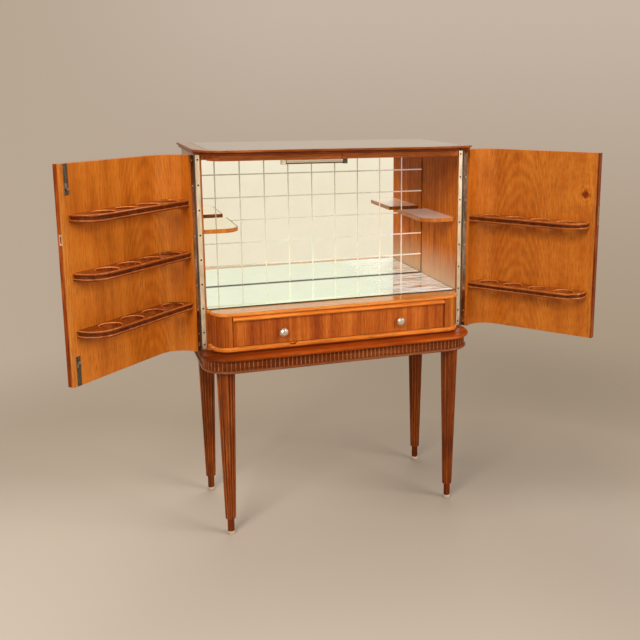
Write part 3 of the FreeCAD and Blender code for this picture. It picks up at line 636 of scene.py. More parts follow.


# The ledge is a solid board with a rounded edge that joins the stand to the case above. Its
# wood is painted darker towards its left end: painted shade, where the left door shades it.

board_figure = {"turn": level_grain, "ribbon": (60.0, 2.0, 0.7)}
ledge_wood = polished_wood(
    "ledge_wood",
    [(0.220, 0.030, 0.003), (0.420, 0.070, 0.006), (0.620, 0.140, 0.018)],
    painted_fade=(-0.18, -0.42, 0.8, (0.100, 0.014, 0.002)),
    gloss=0.06,
    lacquer=0.02,
    **board_figure,
)
eased("ledge_board", [ledge_wood], 0.0022, 3)


# The case: a bottom board whose front edge is a light bead with a finger notch, and two veneered
# sides that are dowelled between it and the top.

# The plinth strip under the bead and the hollow of the finger notch take the shaded wood: painted
# shade.
plinth_height = 0.0042
notch_middle = -0.1522
notch_half = 0.0136
notch_reach = 0.0300
notch_depth = 0.0004


def repaint(piece, material_index, where):
    """Gives another of its materials to the faces of a finished piece that a test picks."""
    for face in piece.data.polygons:
        if where(face):
            face.material_index = material_index


bead_wood = polished_wood(
    "bead_wood",
    [(0.440, 0.095, 0.009), (0.760, 0.200, 0.021), (1.000, 0.370, 0.062)],
    roughness=0.17,
    gloss=0.45,
    **level_figure,
)
side_veneer = {"ribbon": (34.0, 1.0, 0.6), "streak": 0.8, "roughness": 0.14}
case_wood = polished_wood(
    "case_wood",
    [(0.230, 0.050, 0.007), (0.400, 0.110, 0.015), (0.560, 0.190, 0.034)],
    gloss=0.10,
    **side_veneer,
)
# The sides' inside faces: paler towards the bottom, painted light thrown up by the deck glass.
bay_wood = polished_wood(
    "bay_wood",
    [(0.400, 0.080, 0.005), (0.680, 0.168, 0.011), (0.880, 0.290, 0.034)],
    painted_fade=(0.885, 0.755, 0.75, (0.70, 0.52, 0.34)),
    gloss=0.01,
    lacquer=0.02,
    **side_veneer,
)
board_wood = polished_wood(
    "board_wood",
    [(0.600, 0.180, 0.022), (0.820, 0.300, 0.050), (1.000, 0.450, 0.110)],
    roughness=0.10,
    gloss=0.9,
    lacquer=0.35,
    **level_figure,
)
# Painted shade, for the plinth and the finger notch, the lower step of the top and the back of the
# shelf edges.
shaded_wood = polished_wood(
    "shaded_wood",
    [(0.080, 0.010, 0.002), (0.140, 0.022, 0.003), (0.220, 0.050, 0.008)],
    gloss=0.1,
    **level_figure,
)

low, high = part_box("case_bottom")


def in_notch(face):
    spot = face.center
    if abs(spot.x - notch_middle) >= notch_half or spot.y >= low.y + notch_reach:
        return False
    return face.normal.z > 0.2 and spot.z < high.z - notch_depth


bottom = eased("case_bottom", [board_wood, bead_wood, shaded_wood], 0.0012, 3, wear_and_highlight=1)
repaint(bottom, 1, lambda face: abs(face.normal.z) < 0.9)
repaint(bottom, 2, lambda face: face.center.z < low.z + plinth_height or in_notch(face))
for name, inward in (("case_side_left", 1.0), ("case_side_right", -1.0)):
    side_board = eased(name, [case_wood, bay_wood])
    repaint(side_board, 1, lambda face: face.normal.x * inward > 0.9)


# Inside, a deck board with a rounded front covers the drawer, and a quarter-round post closes
# each end beside it. The posts are veneered like the drawer's front.

post_figure = (55.0, 0.8, 0.85)
front_wood = polished_wood(
    "front_wood",
    [(0.300, 0.054, 0.006), (0.495, 0.125, 0.012), (0.690, 0.225, 0.031)],
    ribbon=post_figure,
)
# The left post takes a darker copy of the front's wood: painted shade.
shaded_post_wood = polished_wood(
    "shaded_post_wood",
    [(0.230, 0.034, 0.003), (0.390, 0.078, 0.007), (0.560, 0.150, 0.018)],
    ribbon=post_figure,
    roughness=0.26,
    gloss=0.2,
    lacquer=0.05,
)

eased("deck_board", [board_wood, bead_wood], 0.0018, 3, wear_and_highlight=1)
eased("corner_post_left", [shaded_post_wood])
eased("corner_post_right", [front_wood])


# A plain back panel of unpolished birch is set into the sides, and closes the case behind the
# mirror. The two guides that the drawer runs between are of a like pale wood.

back_wood = polished_wood(
    "back_wood",
    [(0.330, 0.165, 0.060), (0.480, 0.265, 0.108), (0.620, 0.380, 0.180)],
    ribbon=(18.0, 0.9, 0.6),
    roughness=0.62,
    lacquer=0.0,
)
inner_wood = polished_wood(
    "inner_wood",
    [(0.400, 0.240, 0.105), (0.560, 0.360, 0.175), (0.700, 0.490, 0.270)],
    turn=(90.0, 0.0, 0.0),
    ribbon=(26.0, 1.2, 0.5),
    roughness=0.55,
    lacquer=0.1,
)

eased("back_panel", [back_wood])
eased("drawer_guides", [inner_wood])


# The back of the bay is a sheet of silvered glass with a grid of lines frosted into it. Towards
# the right its lines are painted paler and glow a little: painted light.

line_pitch_x = 0.086
line_pitch_z = 0.0801
line_top_z = 1.1417
line_width = 0.0044
line_shift_x = 0.0009
mark_tone_reach = 0.5
mark_light_from_x = 0.16
mark_light_to_x = 0.26
silver_stain = 0.965
mark_dullness = 0.45
score_reach = 1e-6


def rising(tree, space, start, end, low_value, high_value):
    """A value that changes along X between two places."""
    return mapped(tree, axes(tree, space)["X"], start, end, low_value, high_value)


def line_mask(tree, coordinate, first, pitch):
    """1 on the frosted lines that lie a pitch apart, 0 between them."""
    steps = times_plus(tree, coordinate, 1 / pitch, 0.5 - first / pitch)
    within = arithmetic(tree, "SUBTRACT", arithmetic(tree, "FRACT", steps), 0.5)
    away = arithmetic(tree, "ABSOLUTE", within)
    return arithmetic(tree, "LESS_THAN", away, line_width / 2 / pitch)


def frosted_grid(tree, space):
    spot = axes(tree, space)
    upright_lines = line_mask(tree, spot["X"], line_middle_x, line_pitch_x)
    level_lines = line_mask(tree, spot["Z"], line_top_z, line_pitch_z)
    below = arithmetic(tree, "LESS_THAN", spot["Z"], line_top_z + line_pitch_z / 2)
    level_lines = times(tree, level_lines, below)
    lines = arithmetic(tree, "MAXIMUM", upright_lines, level_lines)
    # Towards the right the lines hide more silver, so more of their painted light shows.
    return lines, times(tree, lines, rising(tree, space, 0.10, 0.24, 0.55, 1.0))


def silvered_glass(name, tint, marks, mark_tones, painted_glow):
    """A mirror that has aged a little. Marks say where it is frosted, scuffed or given a painted
    sheen, and how far they hide the silver; their tones run from the left to the right, paler at
    the right as painted light. Towards the right they glow a little: painted light, though the
    mirror is no lamp."""
    material, tree, shader = new_material(name)
    space = pattern_space(tree)
    age = stretched_noise(tree, space, 14.0, 14.0, 4.0)
    stained = [c * silver_stain for c in tint]
    aged = ramp(tree, age, [(0.30, stained), (0.60, tint)])
    haze = times_plus(tree, age, 0.03, -0.005)
    marked, cover = marks(tree, space)
    from_left = rising(tree, space, -mark_tone_reach, mark_tone_reach, 0.0, 1.0)
    tones = ramp(tree, from_left, mark_tones)
    lit_side = rising(tree, space, mark_light_from_x, mark_light_to_x, 0.0, 1.0)
    lit = times(tree, times(tree, cover, painted_glow), lit_side)
    finish = {
        "Base Color": blended(tree, marked, aged, tones),
        "Metallic": arithmetic(tree, "SUBTRACT", 1.0, cover),
        "Roughness": times_plus(tree, marked, mark_dullness, haze),
        "Emission Color": tones,
        "Emission Strength": lit,
    }
    feed(tree, shader, finish)
    return material


def cut_glass_edge(name, colour):
    """The dark green of a thick sheet that is seen into through its edge."""
    material, tree, shader = new_material(name)
    bands = stretched_noise(tree, pattern_space(tree, turn=level_grain), 900.0, 9.0, 3.0)
    deep = [c * 0.5 for c in colour]
    shade = ramp(tree, bands, [(0.3, deep), (0.7, colour)])
    feed(tree, shader, {"Base Color": shade, "Roughness": 0.16, "Coat Weight": 0.1})
    return material


def scored(piece, cuts, beyond):
    """Cuts a finished piece's faces along planes, and gives the second material to the faces
    that a test of their middle picks."""
    bm = bmesh.new()
    bm.from_mesh(piece.data)
    for along, limit in cuts:
        geom = bm.verts[:] + bm.edges[:] + bm.faces[:]
        plane = {"plane_co": along * limit, "plane_no": along, "dist": score_reach}
        bmesh.ops.bisect_plane(bm, geom=geom, **plane)
    for face in bm.faces:
        if beyond(face.calc_center_median()):
            face.material_index = 1
    bm.to_mesh(piece.data)
    bm.free()


def glass_sheet(node, silver, rims):
    """A sheet of silvered glass with dark rims so wide at its low X, high X, low Y and high Y."""
    sheet = eased(node, [silver, green_edge], 0.0006, 2, sharp_degrees=5.0)
    low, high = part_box(node)
    cuts = (
        (Vector((-1.0, 0.0, 0.0)), -low.x - rims[0]),
        (Vector((1.0, 0.0, 0.0)), high.x - rims[1]),
        (Vector((0.0, -1.0, 0.0)), -low.y - rims[2]),
        (Vector((0.0, 1.0, 0.0)), high.y - rims[3]),
    )
    scored(sheet, cuts, lambda spot: any(spot.dot(along) > limit for along, limit in cuts))


low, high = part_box("back_mirror")
line_middle_x = (low.x + high.x) / 2 + line_shift_x
painted_light_line_tones = [(0.60, (0.86, 0.88, 0.68)), (0.76, (1.0, 0.91, 0.76))]
silver_tint = (0.94, 0.93, 0.87)
mirror_silver = silvered_glass("mirror_silver", silver_tint, frosted_grid, painted_light_line_tones, 0.28)
green_edge = cut_glass_edge("green_edge", (0.026, 0.036, 0.014))

glass_sheet("back_mirror", mirror_silver, (0.0026, 0.0026, -0.0001, 0.0008))


# A sheet of silvered glass lies loose on the deck. Its cut edges show dark green, most at the
# back, and bottles have scuffed its right end with fine scratches along its length. The scratches
# are painted pale there and glow a little: painted light.

scuff_cover = 0.88
scuff_and_glow_tones = [(0.50, (0.85, 1.0, 0.86)), (1.0, grey(1.0))]


def deck_scuffs_and_glow(tree, space):
    drawn = new_node(tree, "Mapping", {"Vector": space, "Scale": (7.0, 150.0, 1.0)})
    inputs = {"Vector": drawn.outputs["Vector"], "Scale": 1.0, "Detail": 3.0}
    scratches = new_node(tree, "TexNoise", inputs).outputs["Fac"]
    deep = mapped(tree, scratches, 0.43, 0.53)
    wear_and_highlight = rising(tree, space, 0.16, 0.27, 0.0, 1.0)
    scuffed = times(tree, deep, wear_and_highlight)
    return scuffed, times(tree, scuffed, scuff_cover)


deck_silver = silvered_glass("deck_silver", (0.89, 0.95, 0.86), deck_scuffs_and_glow, scuff_and_glow_tones, 0.26)

glass_sheet("deck_glass", deck_silver, (0.0030, 0.0030, 0.0034, 0.0150))


# The header is a U-shaped rail of solid mahogany under the top, with a saw slit in its middle.
# Its rounded edges are in a darker wood than its face.

# Paler than the top's wood and darker than the header's: on the top's rounded edges it is wear and
# a painted highlight.
edge_moulding_wood = polished_wood(
    "edge_moulding_wood",
    [(0.170, 0.034, 0.005), (0.290, 0.070, 0.012), (0.460, 0.145, 0.034)],
    turn=level_grain,
    ribbon=(40.0, 4.0, 0.8),
    gloss=0.08,
    lacquer=0.02,
)
header_wood = polished_wood(
    "header_wood",
    [(0.480, 0.102, 0.020), (0.790, 0.205, 0.044), (0.960, 0.340, 0.095)],
    gloss=0.10,
    lacquer=0.04,
    **board_figure,
)

eased("header_rail", [header_wood, edge_moulding_wood], 0.0014, 3, wear_and_highlight=1)


# The top is a solid board, moulded in two steps round its edge. A sheet of glass, painted pale
# on its underside, lies flush in a recess in it.

top_wood = polished_wood(
    "top_wood",
    [(0.090, 0.016, 0.003), (0.180, 0.036, 0.005), (0.300, 0.080, 0.015)],
    gloss=0.04,
    lacquer=0.0,
    **board_figure,
)
top_polish = polished_wood(
    "top_polish",
    [(0.180, 0.045, 0.012), (0.300, 0.085, 0.024), (0.440, 0.150, 0.050)],
    roughness=0.12,
    gloss=0.6,
    lacquer=0.7,
    **board_figure,
)

low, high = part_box("top_board")
middle_z = (low.z + high.z) / 2
face_z = high.z - 0.001
top = eased("top_board", [top_wood, edge_moulding_wood, shaded_wood, top_polish], 0.0017, 3, wear_and_highlight=1)
# The lower step of the moulding takes the shaded wood: painted shade in the recess over the
# header.
repaint(top, 2, lambda face: face.center.z < middle_z and face.normal.z < 0.3)
repaint(top, 3, lambda face: face.center.z > face_z and face.normal.z > 0.9)


def painted_glass(name, colour):
    material, tree, shader = new_material(name)
    space = pattern_space(tree)
    wear = stretched_noise(tree, space, 11.0, 11.0, 5.0)
    scuffs = stretched_noise(tree, space, 240.0, 240.0, 4.0)
    thin = [c * 0.88 for c in colour]
    finish = {
        "Base Color": ramp(tree, wear, [(0.30, thin), (0.65, colour)]),
        "Roughness": times_plus(tree, scuffs, 0.10, 0.02),
        "Coat Weight": 1.0,
        "Coat Roughness": 0.03,
    }
    feed(tree, shader, finish)
    return material


top_glass = painted_glass("top_glass", (0.47, 0.48, 0.36))
inlay = eased("top_glass", [top_glass, green_edge], 0.0006, 2, sharp_degrees=5.0)
repaint(inlay, 1, lambda face: abs(face.normal.z) < 0.95)


# Two quarter-round shelves stand out from the sides. Each is a board with a mirror glued on its
# top, and a strip of light wood bent round its edge.

shelf_light_rim = 0.060
sheen_tones = [(0.50, (1.0, 0.66, 0.24)), (1.0, grey(1.0))]


# A painted sheen and reflection on the mirror tops, orange and white, stronger towards the right,
# where it also glows: painted light.
def shelf_painted_sheen(tree, space):
    cloud = stretched_noise(tree, space, 12.0, 30.0, 3.0)
    sheen = times_plus(tree, cloud, 0.12, -0.06)
    sheen = plus(tree, sheen, rising(tree, space, -0.2, 0.2, 0.15, 0.55))
    return sheen, sheen


shelf_silver = silvered_glass("shelf_silver", (0.97, 0.82, 0.64), shelf_painted_sheen, sheen_tones, 0.15)
lipping_wood = polished_wood(
    "lipping_wood",
    [(0.400, 0.095, 0.010), (0.590, 0.170, 0.020), (0.760, 0.270, 0.045)],
    ribbon=(60.0, 1.2, 0.6),
)

for side in ("left", "right"):
    shelf = eased("shelf_" + side, [case_wood, shelf_silver], 0.0004, 2, sharp_degrees=5.0)
    repaint(shelf, 1, lambda face: face.normal.z > 0.95)
    low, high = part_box("shelf_edge_" + side)
    rim_y = low.y + shelf_light_rim
    strip = eased("shelf_edge_" + side, [lipping_wood, shaded_wood], 0.0014, 3)
    # Towards the back the top of each edge strip takes the shaded wood: painted shade.
    repaint(strip, 1, lambda face: face.normal.z > 0.8 and face.center.y > rim_y)


# A strip light hangs under the top: a dark base with two lamp holders, the left one capped in
# cream, and an opal tube.

lamp_pale_end = 0.012
lamp_fitting = plain_plastic("lamp_fitting", (0.120, 0.095, 0.055), 0.35)
lamp_opal = plain_plastic("lamp_opal", (0.98, 0.88, 0.68), 0.20, 0.01, Metallic=0.5)

low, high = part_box("lamp_base")
base = eased("lamp_base", [lamp_fitting, lamp_opal], 0.0014, 3)
repaint(base, 1, lambda face: face.center.x < low.x + lamp_pale_end)
tube = eased("lamp_tube", [lamp_opal, lamp_fitting], 0.0022, 4)
# The tube's underside takes the dark fitting colour: painted shade.
repaint(tube, 1, lambda face: face.normal.z < -0.6)


# The drawer: a veneered front with a lip moulding along its top, and a box of plain beech that
# is dovetailed behind it.

drawer_veneer = polished_wood(
    "drawer_veneer",
    [(0.290, 0.045, 0.006), (0.470, 0.100, 0.010), (0.680, 0.190, 0.026)],
    place=(0.031, 0.0, 0.0),
    ribbon=(38.0, 0.5, 1.00),
    streak=0.30,
    roughness=0.26,
)

eased("drawer_front", [drawer_veneer])
eased("drawer_lip", [bead_wood], 0.0012, 3)
for name in ("drawer_side_left", "drawer_side_right", "drawer_back", "drawer_bottom"):
    eased(name, [inner_wood])


# Two knobs of cut glass, eight-sided, stand on round rosettes of brass and are held by a screw
# from inside the drawer. The rosettes are painted dark: painted shade round each knob.

knob_sides = 8
knob_profile = [(0.0070, 0.0), (0.0070, 0.0030), (0.0150, 0.0069), (0.0150, 0.0095)]
knob_crown = [(0.0118, 0.0135), (0.0075, 0.0160)]
knob_edge = 0.0004


def foiled_glass(name, tint):
    """Cut glass with a silver foil behind it, so that each facet shines by itself."""
    stops = [(0.3, [c * 0.93 for c in tint]), (0.6, tint)]
    shine = {"Metallic": 0.65, "Coat Weight": 1.0, "Coat Roughness": 0.02}
    return patchy_finish(name, (260.0, 260.0, 3.0), stops, 0.08, 0.02, **shine)


def old_metal(name, colour, roughness, dirt=0.35, scale=260.0):
    """Metal that has tarnished unevenly."""
    stops = [(0.35, [c * (1 - dirt) for c in colour]), (0.60, colour)]
    waves = (scale, scale * 0.25, 4.0)
    return patchy_finish(name, waves, stops, 0.25, roughness - 0.10, Metallic=1.0)


knob_glass = foiled_glass("knob_glass", (0.76, 0.68, 0.54))
rosette_painted_shade = old_metal("rosette_painted_shade", (0.10, 0.07, 0.035), 0.40)

origin = Vector((0.0, 0.0, 0.0))
half_side = Matrix.Rotation(math.pi / knob_sides, 3, "Z")
to_front = Matrix.Rotation(math.pi / 2, 3, "X")
for side in ("left", "right"):
    low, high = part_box("knob_" + side)
    centre = Vector(((low.x + high.x) / 2, high.y, (low.z + high.z) / 2))
    bm = bmesh.new()
    radius, height = knob_profile[0]
    bmesh.ops.create_circle(bm, segments=knob_sides, radius=radius)
    bmesh.ops.rotate(bm, cent=origin, matrix=half_side, verts=bm.verts)
    ring = bm.edges[:]
    bmesh.ops.contextual_create(bm, geom=ring)
    for next_radius, next_height in knob_profile[1:] + knob_crown:
        ring = drawn_out(bm, ring, next_height - height, next_radius / radius, origin)
        radius, height = next_radius, next_height
    bmesh.ops.contextual_create(bm, geom=ring)
    bmesh.ops.recalc_face_normals(bm, faces=bm.faces)
    rounded(bm, bm.edges[:], knob_edge, 1)
    bmesh.ops.rotate(bm, cent=origin, matrix=to_front, verts=bm.verts)
    bmesh.ops.translate(bm, verts=bm.verts, vec=centre)
    fitted("knob_cut_" + side, bm, [knob_glass], "knob_" + side, sharp_degrees=10.0)

eased("knob_rosettes", [rosette_painted_shade], 0.0009, 3)


# The doors are bowed boards of laminated wood, veneered inside and out, with a lighter strip
# down the free edge. Each hangs on a piano hinge the length of its side.

pins = {
    "left": Vector((-0.4322189, -0.0249070, 0.0)),
    "right": Vector((0.4677811, -0.0249070, 0.0)),
}
open_degrees = {"left": -136.2, "right": 128.4}
door_tones = [(0.380, 0.082, 0.005), (0.580, 0.148, 0.011), (0.740, 0.232, 0.024)]
door_crown = (420.0, 19.0, 1.3)
right_knot = ((-0.490, 0.0, 1.099), 0.024)

low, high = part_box("deck_glass")
bay_middle = (low + high) / 2


def looks_out(face, pin, shut):
    """Whether a door's face looks outwards when the door is shut."""
    shut_spot = shut @ (face.center - pin) + pin - bay_middle
    return (shut @ face.normal).to_2d().dot(shut_spot.to_2d()) > 0.0


for side, wrap, stripe, streak, crown_middle, crown_depth, knot in (
    ("left", -1.0, 0.50, 0.50, 0.212, 0.09, None),
    ("right", 1.0, 0.40, 0.45, -0.258, 0.11, right_knot),
):
    pin = pins[side]
    lie = {"place": pin, "turn": (0.0, 0.0, open_degrees[side]), "wrap": wrap}
    inner_veneer = polished_wood(
        side + "_veneer",
        door_tones,
        ribbon=(26.0, 0.7, stripe),
        streak=streak,
        crown=(crown_middle, *door_crown, crown_depth),
        knot=knot,
        **lie,
    )
    outer_veneer = polished_wood(
        side + "_outside_veneer",
        door_tones,
        ribbon=(26.0, 0.7, 0.60),
        streak=0.40,
        **lie,
    )
    shut = Matrix.Rotation(math.radians(-open_degrees[side]), 3, "Z")
    door = eased("door_" + side, [inner_veneer, outer_veneer], 0.0005)
    repaint(door, 1, lambda face: looks_out(face, pin, shut))

# The strip's outer edge is darker: rim is how far in that reaches, and arris is how much stays
# pale along the inner corner.

strip_finish = {"ribbon": (60.0, 9.0, 0.9), "gloss": 0.08, "lacquer": 0.02}
for side, tones, across, rim, arris in (
    (
        "left",
        [(0.170, 0.022, 0.002), (0.330, 0.055, 0.005), (0.560, 0.130, 0.018)],
        Vector((1.0, 0.0, 0.0)),
        0.0008,
        0.0060,
    ),
    (
        "right",
        [(0.110, 0.013, 0.002), (0.210, 0.032, 0.003), (0.400, 0.085, 0.011)],
        Vector((-1.0, 0.0, 0.0)),
        0.0060,
        0.0,
    ),
):
    edge_wood = polished_wood(side + "_free_edge_wood", tones, **strip_finish)
    strip = eased("door_" + side + "_lipping", [lipping_wood, edge_wood], 0.0006)
    swing = Matrix.Rotation(math.radians(open_degrees[side]), 3, "Z")
    outward = swing @ across
    inward = swing @ Vector((0.0, 1.0, 0.0))
    reach = max(v.co.dot(outward) for v in strip.data.vertices) - rim
    depth = max(v.co.dot(inward) for v in strip.data.vertices) - arris
    cuts = ((outward, reach), (inward, depth))
    scored(strip, cuts, lambda spot: spot.dot(outward) > reach and spot.dot(inward) < depth)


# The piano hinges are rolled from nickel-plated strip. Their knuckles take turns on one long pin,
# and a row of small countersunk screws holds each leaf.

hinge_knuckles = 51
hinge_barrel_radius = 0.00275
hinge_knuckle_gap = 0.0004
hinge_leaf_near = 0.0003
hinge_leaf_far = 0.0015
hinge_leaf_clear = 0.00305
hinge_leaf_reach = 0.0160
hinge_screws = 8
hinge_screw_end = 0.0148
hinge_screw_pitch = 0.0779
hinge_screw_in = 0.0100
hinge_screw_radius = 0.0030
hinge_screw_taper = 0.8
hinge_screw_rise = 0.0002


def plate(bm, low, high):
    """A block between two corners."""
    middle = Matrix.Translation((low + high) / 2)
    size = Matrix.Diagonal([*(high - low), 1.0])
    bmesh.ops.create_cube(bm, size=1.0, matrix=middle @ size)


def hinge_strip(bm, pin, bottom, top, first, across, toward):
    """A leaf with every second knuckle. It runs out along X and lies on one side of the pin."""
    faces = sorted((toward * hinge_leaf_near, toward * hinge_leaf_far))
    ends = sorted((across * hinge_leaf_clear, across * hinge_leaf_reach))
    low = Vector((pin.x + ends[0], pin.y + faces[0], bottom))
    high = Vector((pin.x + ends[1], pin.y + faces[1], top))
    plate(bm, low, high)
    leaf = set(bm.faces)
    length = (top - bottom) / hinge_knuckles
    web = sorted((0.0, across * hinge_leaf_clear))
    for i in range(first, hinge_knuckles, 2):
        base = bottom + i * length + hinge_knuckle_gap / 2
        end = bottom + (i + 1) * length - hinge_knuckle_gap / 2
        middle = Matrix.Translation((pin.x, pin.y, (base + end) / 2))
        round_bar(bm, hinge_barrel_radius, end - base, middle, sides=16)
        low = Vector((pin.x + web[0], pin.y + faces[0], base))
        high = Vector((pin.x + web[1], pin.y + faces[1], end))
        plate(bm, low, high)
    barrel = set(bm.faces) - leaf
    heights = [top - hinge_screw_end - i * hinge_screw_pitch for i in range(hinge_screws)]
    y = pin.y + toward * (hinge_leaf_near - hinge_screw_rise / 2)
    tilt = Matrix.Rotation(math.pi / 2 * toward, 4, "X")
    for z in heights + [bottom + hinge_screw_end]:
        place = Matrix.Translation((pin.x + across * hinge_screw_in, y, z)) @ tilt
        head = {"sides": 14, "taper": hinge_screw_taper}
        round_bar(bm, hinge_screw_radius, hinge_screw_rise, place, **head)
    for face in bm.faces:
        if face in barrel:
            face.material_index = 2
        elif face not in leaf:
            face.material_index = 1


# Both leaves are of one nickel strip. The case leaf is painted pale and warm, a painted reflection
# of the cream wall it faces; the door leaf is painted darker, and the knuckles dark bronze:
# painted shade and dark reflections.
hinge_leaf_painted_light = old_metal("hinge_leaf_painted_light", (0.89, 0.70, 0.52), 0.30, 0.25, 90.0)
hinge_leaf_painted_shade = old_metal("hinge_leaf_painted_shade", (0.60, 0.52, 0.45), 0.16, 0.60, 60.0)
screw_dark = old_metal("screw_dark", (0.06, 0.04, 0.02), 0.45)
barrel_painted_shade = old_metal("barrel_painted_shade", (0.17, 0.125, 0.095), 0.40, 0.5, 40.0)
screw_pale = old_metal("screw_pale", (0.80, 0.74, 0.62), 0.30)

for side, across in (("left", 1), ("right", -1)):
    pin = pins[side]
    low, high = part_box("hinge_case_" + side)
    swing = Matrix.Rotation(math.radians(open_degrees[side]), 3, "Z")
    for leaf, first, toward, turn, metals in (
        ("case", 0, 1, Matrix.Identity(3), [hinge_leaf_painted_light, screw_dark, barrel_painted_shade]),
        ("door", 1, -1, swing, [hinge_leaf_painted_shade, screw_pale, barrel_painted_shade]),
    ):
        bm = bmesh.new()
        hinge_strip(bm, pin, low.z, high.z, first, across, toward)
        bmesh.ops.rotate(bm, cent=pin, matrix=turn, verts=bm.verts)
        bmesh.ops.recalc_face_normals(bm, faces=bm.faces)
        fitted(f"hinge_{leaf}_strip_{side}", bm, metals, f"hinge_{leaf}_{side}")


# The glass racks are boards of dark mahogany with a bead along both edges of their faces and a
# cove between. Four holes are bored through each, and it is screwed on from outside the door.

rack_cove_height = 0.0086
rack_hole_radius = 0.031
rack_hole_easing = 0.0026
rack_bead_easing = 0.0009


def rack_board(node, materials):
    """A rack with the rims of its four holes rounded wide, then its other edges. The rims and the
    upward edges take paler wood, painted highlights, and the cove darker wood, painted shade.
    """
    bm = copied_mesh(node)
    low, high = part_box(node)
    middle = (low.z + high.z) / 2
    hubs = {}
    for face in bm.faces:
        hub = face.calc_center_median() + face.normal * rack_hole_radius
        across = max(v.co.z for v in face.verts) - min(v.co.z for v in face.verts)
        if abs(face.normal.z) < 0.05 and across > 0.9 * (high.z - low.z):
            hubs.setdefault((round(hub.x, 3), round(hub.y, 3)), []).append(face)
    bored = {face for faces in hubs.values() if len(faces) > 4 for face in faces}
    upper = [e for e in bm.edges if min(v.co.z for v in e.verts) > middle]
    rims = [e for e in upper if len(bored.intersection(e.link_faces)) == 1]
    rounded(bm, rims, rack_hole_easing, 4, material=1)
    rounded(bm, sharp_edges(bm), rack_bead_easing, 3, material=3)
    for face in bm.faces:
        heights = [v.co.z for v in face.verts]
        if face.material_index == 3 and face.normal.z < 0.2:
            face.material_index = 0
        if max(heights) - middle < rack_cove_height / 2 > middle - min(heights):
            face.material_index = 2
    return fitted(node + "_finished", bm, materials, node, sharp_degrees=50.0)


rack_polish = {"roughness": 0.20, "gloss": 0.3, "lacquer": 0.1}
rack_rim_highlight_wood = polished_wood(
    "rack_rim_highlight_wood",
    [(0.440, 0.105, 0.020), (0.640, 0.200, 0.050), (0.820, 0.340, 0.115)],
    ribbon=(60.0, 20.0, 0.8),
    roughness=0.18,
    gloss=0.4,
    lacquer=0.05,
)
rack_cove_shade_wood = polished_wood(
    "rack_cove_shade_wood",
    [(0.055, 0.007, 0.001), (0.105, 0.016, 0.002), (0.180, 0.038, 0.006)],
    ribbon=(60.0, 20.0, 0.8),
    gloss=0.2,
)
rack_edge_highlight_wood = polished_wood(
    "rack_edge_highlight_wood",
    [(0.360, 0.080, 0.014), (0.540, 0.150, 0.034), (0.760, 0.290, 0.095)],
    ribbon=(60.0, 20.0, 0.8),
    **rack_polish,
)

# The left racks are painted darker than the right ones: painted shade.
for side, heights, tones in (
    (
        "left",
        ("top", "middle", "bottom"),
        [(0.120, 0.017, 0.002), (0.240, 0.039, 0.004), (0.400, 0.092, 0.013)],
    ),
    (
        "right",
        ("top", "bottom"),
        [(0.180, 0.030, 0.004), (0.340, 0.072, 0.008), (0.540, 0.150, 0.024)],
    ),
):
    rack_wood = polished_wood(
        side + "_rack_wood",
        tones,
        place=pins[side],
        turn=(0.0, 90.0, open_degrees[side]),
        ribbon=(60.0, 2.5, 0.9),
        **rack_polish,
    )
    woods = [rack_wood, rack_rim_highlight_wood, rack_cove_shade_wood, rack_edge_highlight_wood]
    for height in heights:
        rack_board(f"rack_{side}_{height}", woods)


# The left door shuts first and is held by two flush bolts let into its inner face: a plate of
# darkened steel, and a flat bolt with a round thumb piece that slides in the slot.

bolt_steel = old_metal("bolt_steel", (0.20, 0.17, 0.13), 0.32, 0.5)
bolt_bright = old_metal("bolt_bright", (0.52, 0.46, 0.36), 0.28, 0.4)

for name in ("bolt_plate_top", "bolt_plate_bottom"):
    eased(name, [bolt_steel], 0.0003)
for name in ("bolt_top", "bolt_bottom"):
    eased(name, [bolt_bright], 0.0003)


# The right door has a mortise lock with a brass escutcheon outside; its bolt enters a small
# keeper of brass in the left door's edge.

lock_brass = old_metal("lock_brass", (0.52, 0.36, 0.17), 0.32, 0.45)
# The keeper is painted far paler than the lock's brass: a painted glint on the door's edge.
keeper_brass_glint = old_metal("keeper_brass_glint", (0.94, 0.84, 0.70), 0.30, 0.1)

for name in ("lock_case", "lock_bolt", "lock_escutcheon"):
    eased(name, [lock_brass], 0.0003)
eased("lock_keeper", [keeper_brass_glint], 0.0003)


# The studio: a pale floor that fades into the backdrop's colour, three soft lamps, and a card
# behind the camera that only gloss and mirrors see. None of it belongs to the cabinet.

floor_radius = 9.0
floor_fade = (1.15, 2.6)
floor_cloud_depth = 0.10
floor_scale = 0.40
floor_middle = 0.50
floor_headings = ((0.937, -0.348, 0.0), (0.348, 0.937, 0.0))
# The floor's tones are painted light and shade: they darken away from the camera and to the right.
floor_tones = [
    (0.20, (0.645, 0.537, 0.430)),
    (0.40, (0.618, 0.511, 0.404)),
    (0.50, (0.570, 0.468, 0.364)),
    (0.59, (0.530, 0.428, 0.324)),
    (0.70, (0.525, 0.420, 0.312)),
    (0.82, (0.490, 0.387, 0.282)),
]
floor_side_shade = [(0.10, grey(1.0)), (0.46, grey(0.95)), (0.70, grey(0.86)), (0.88, grey(0.74))]
floor_shade_middle = (0.45, 0.38)
floor_shade_reach = (0.90, 0.48)
floor_shade_depth = 0.33
# The backdrop is painted darker low down on the right: painted shade.
wall_left_tones = [(0.20, (0.497, 0.398, 0.300)), (0.55, (0.474, 0.382, 0.288))]
wall_right_tones = [
    (0.19, (0.376, 0.292, 0.205)),
    (0.33, (0.430, 0.337, 0.250)),
    (0.58, (0.562, 0.459, 0.374)),
]
wall_blend = (-0.10, 0.24)
unseen_light = (0.36, 0.36, 0.36, 1.0)
card_tones = [(0.20, (0.93, 0.84, 0.67)), (0.50, (1.0, 1.0, 0.86))]
card_middle = (0.0, -3.3, 1.7)
card_half_width = 4.5
card_half_height = 1.7


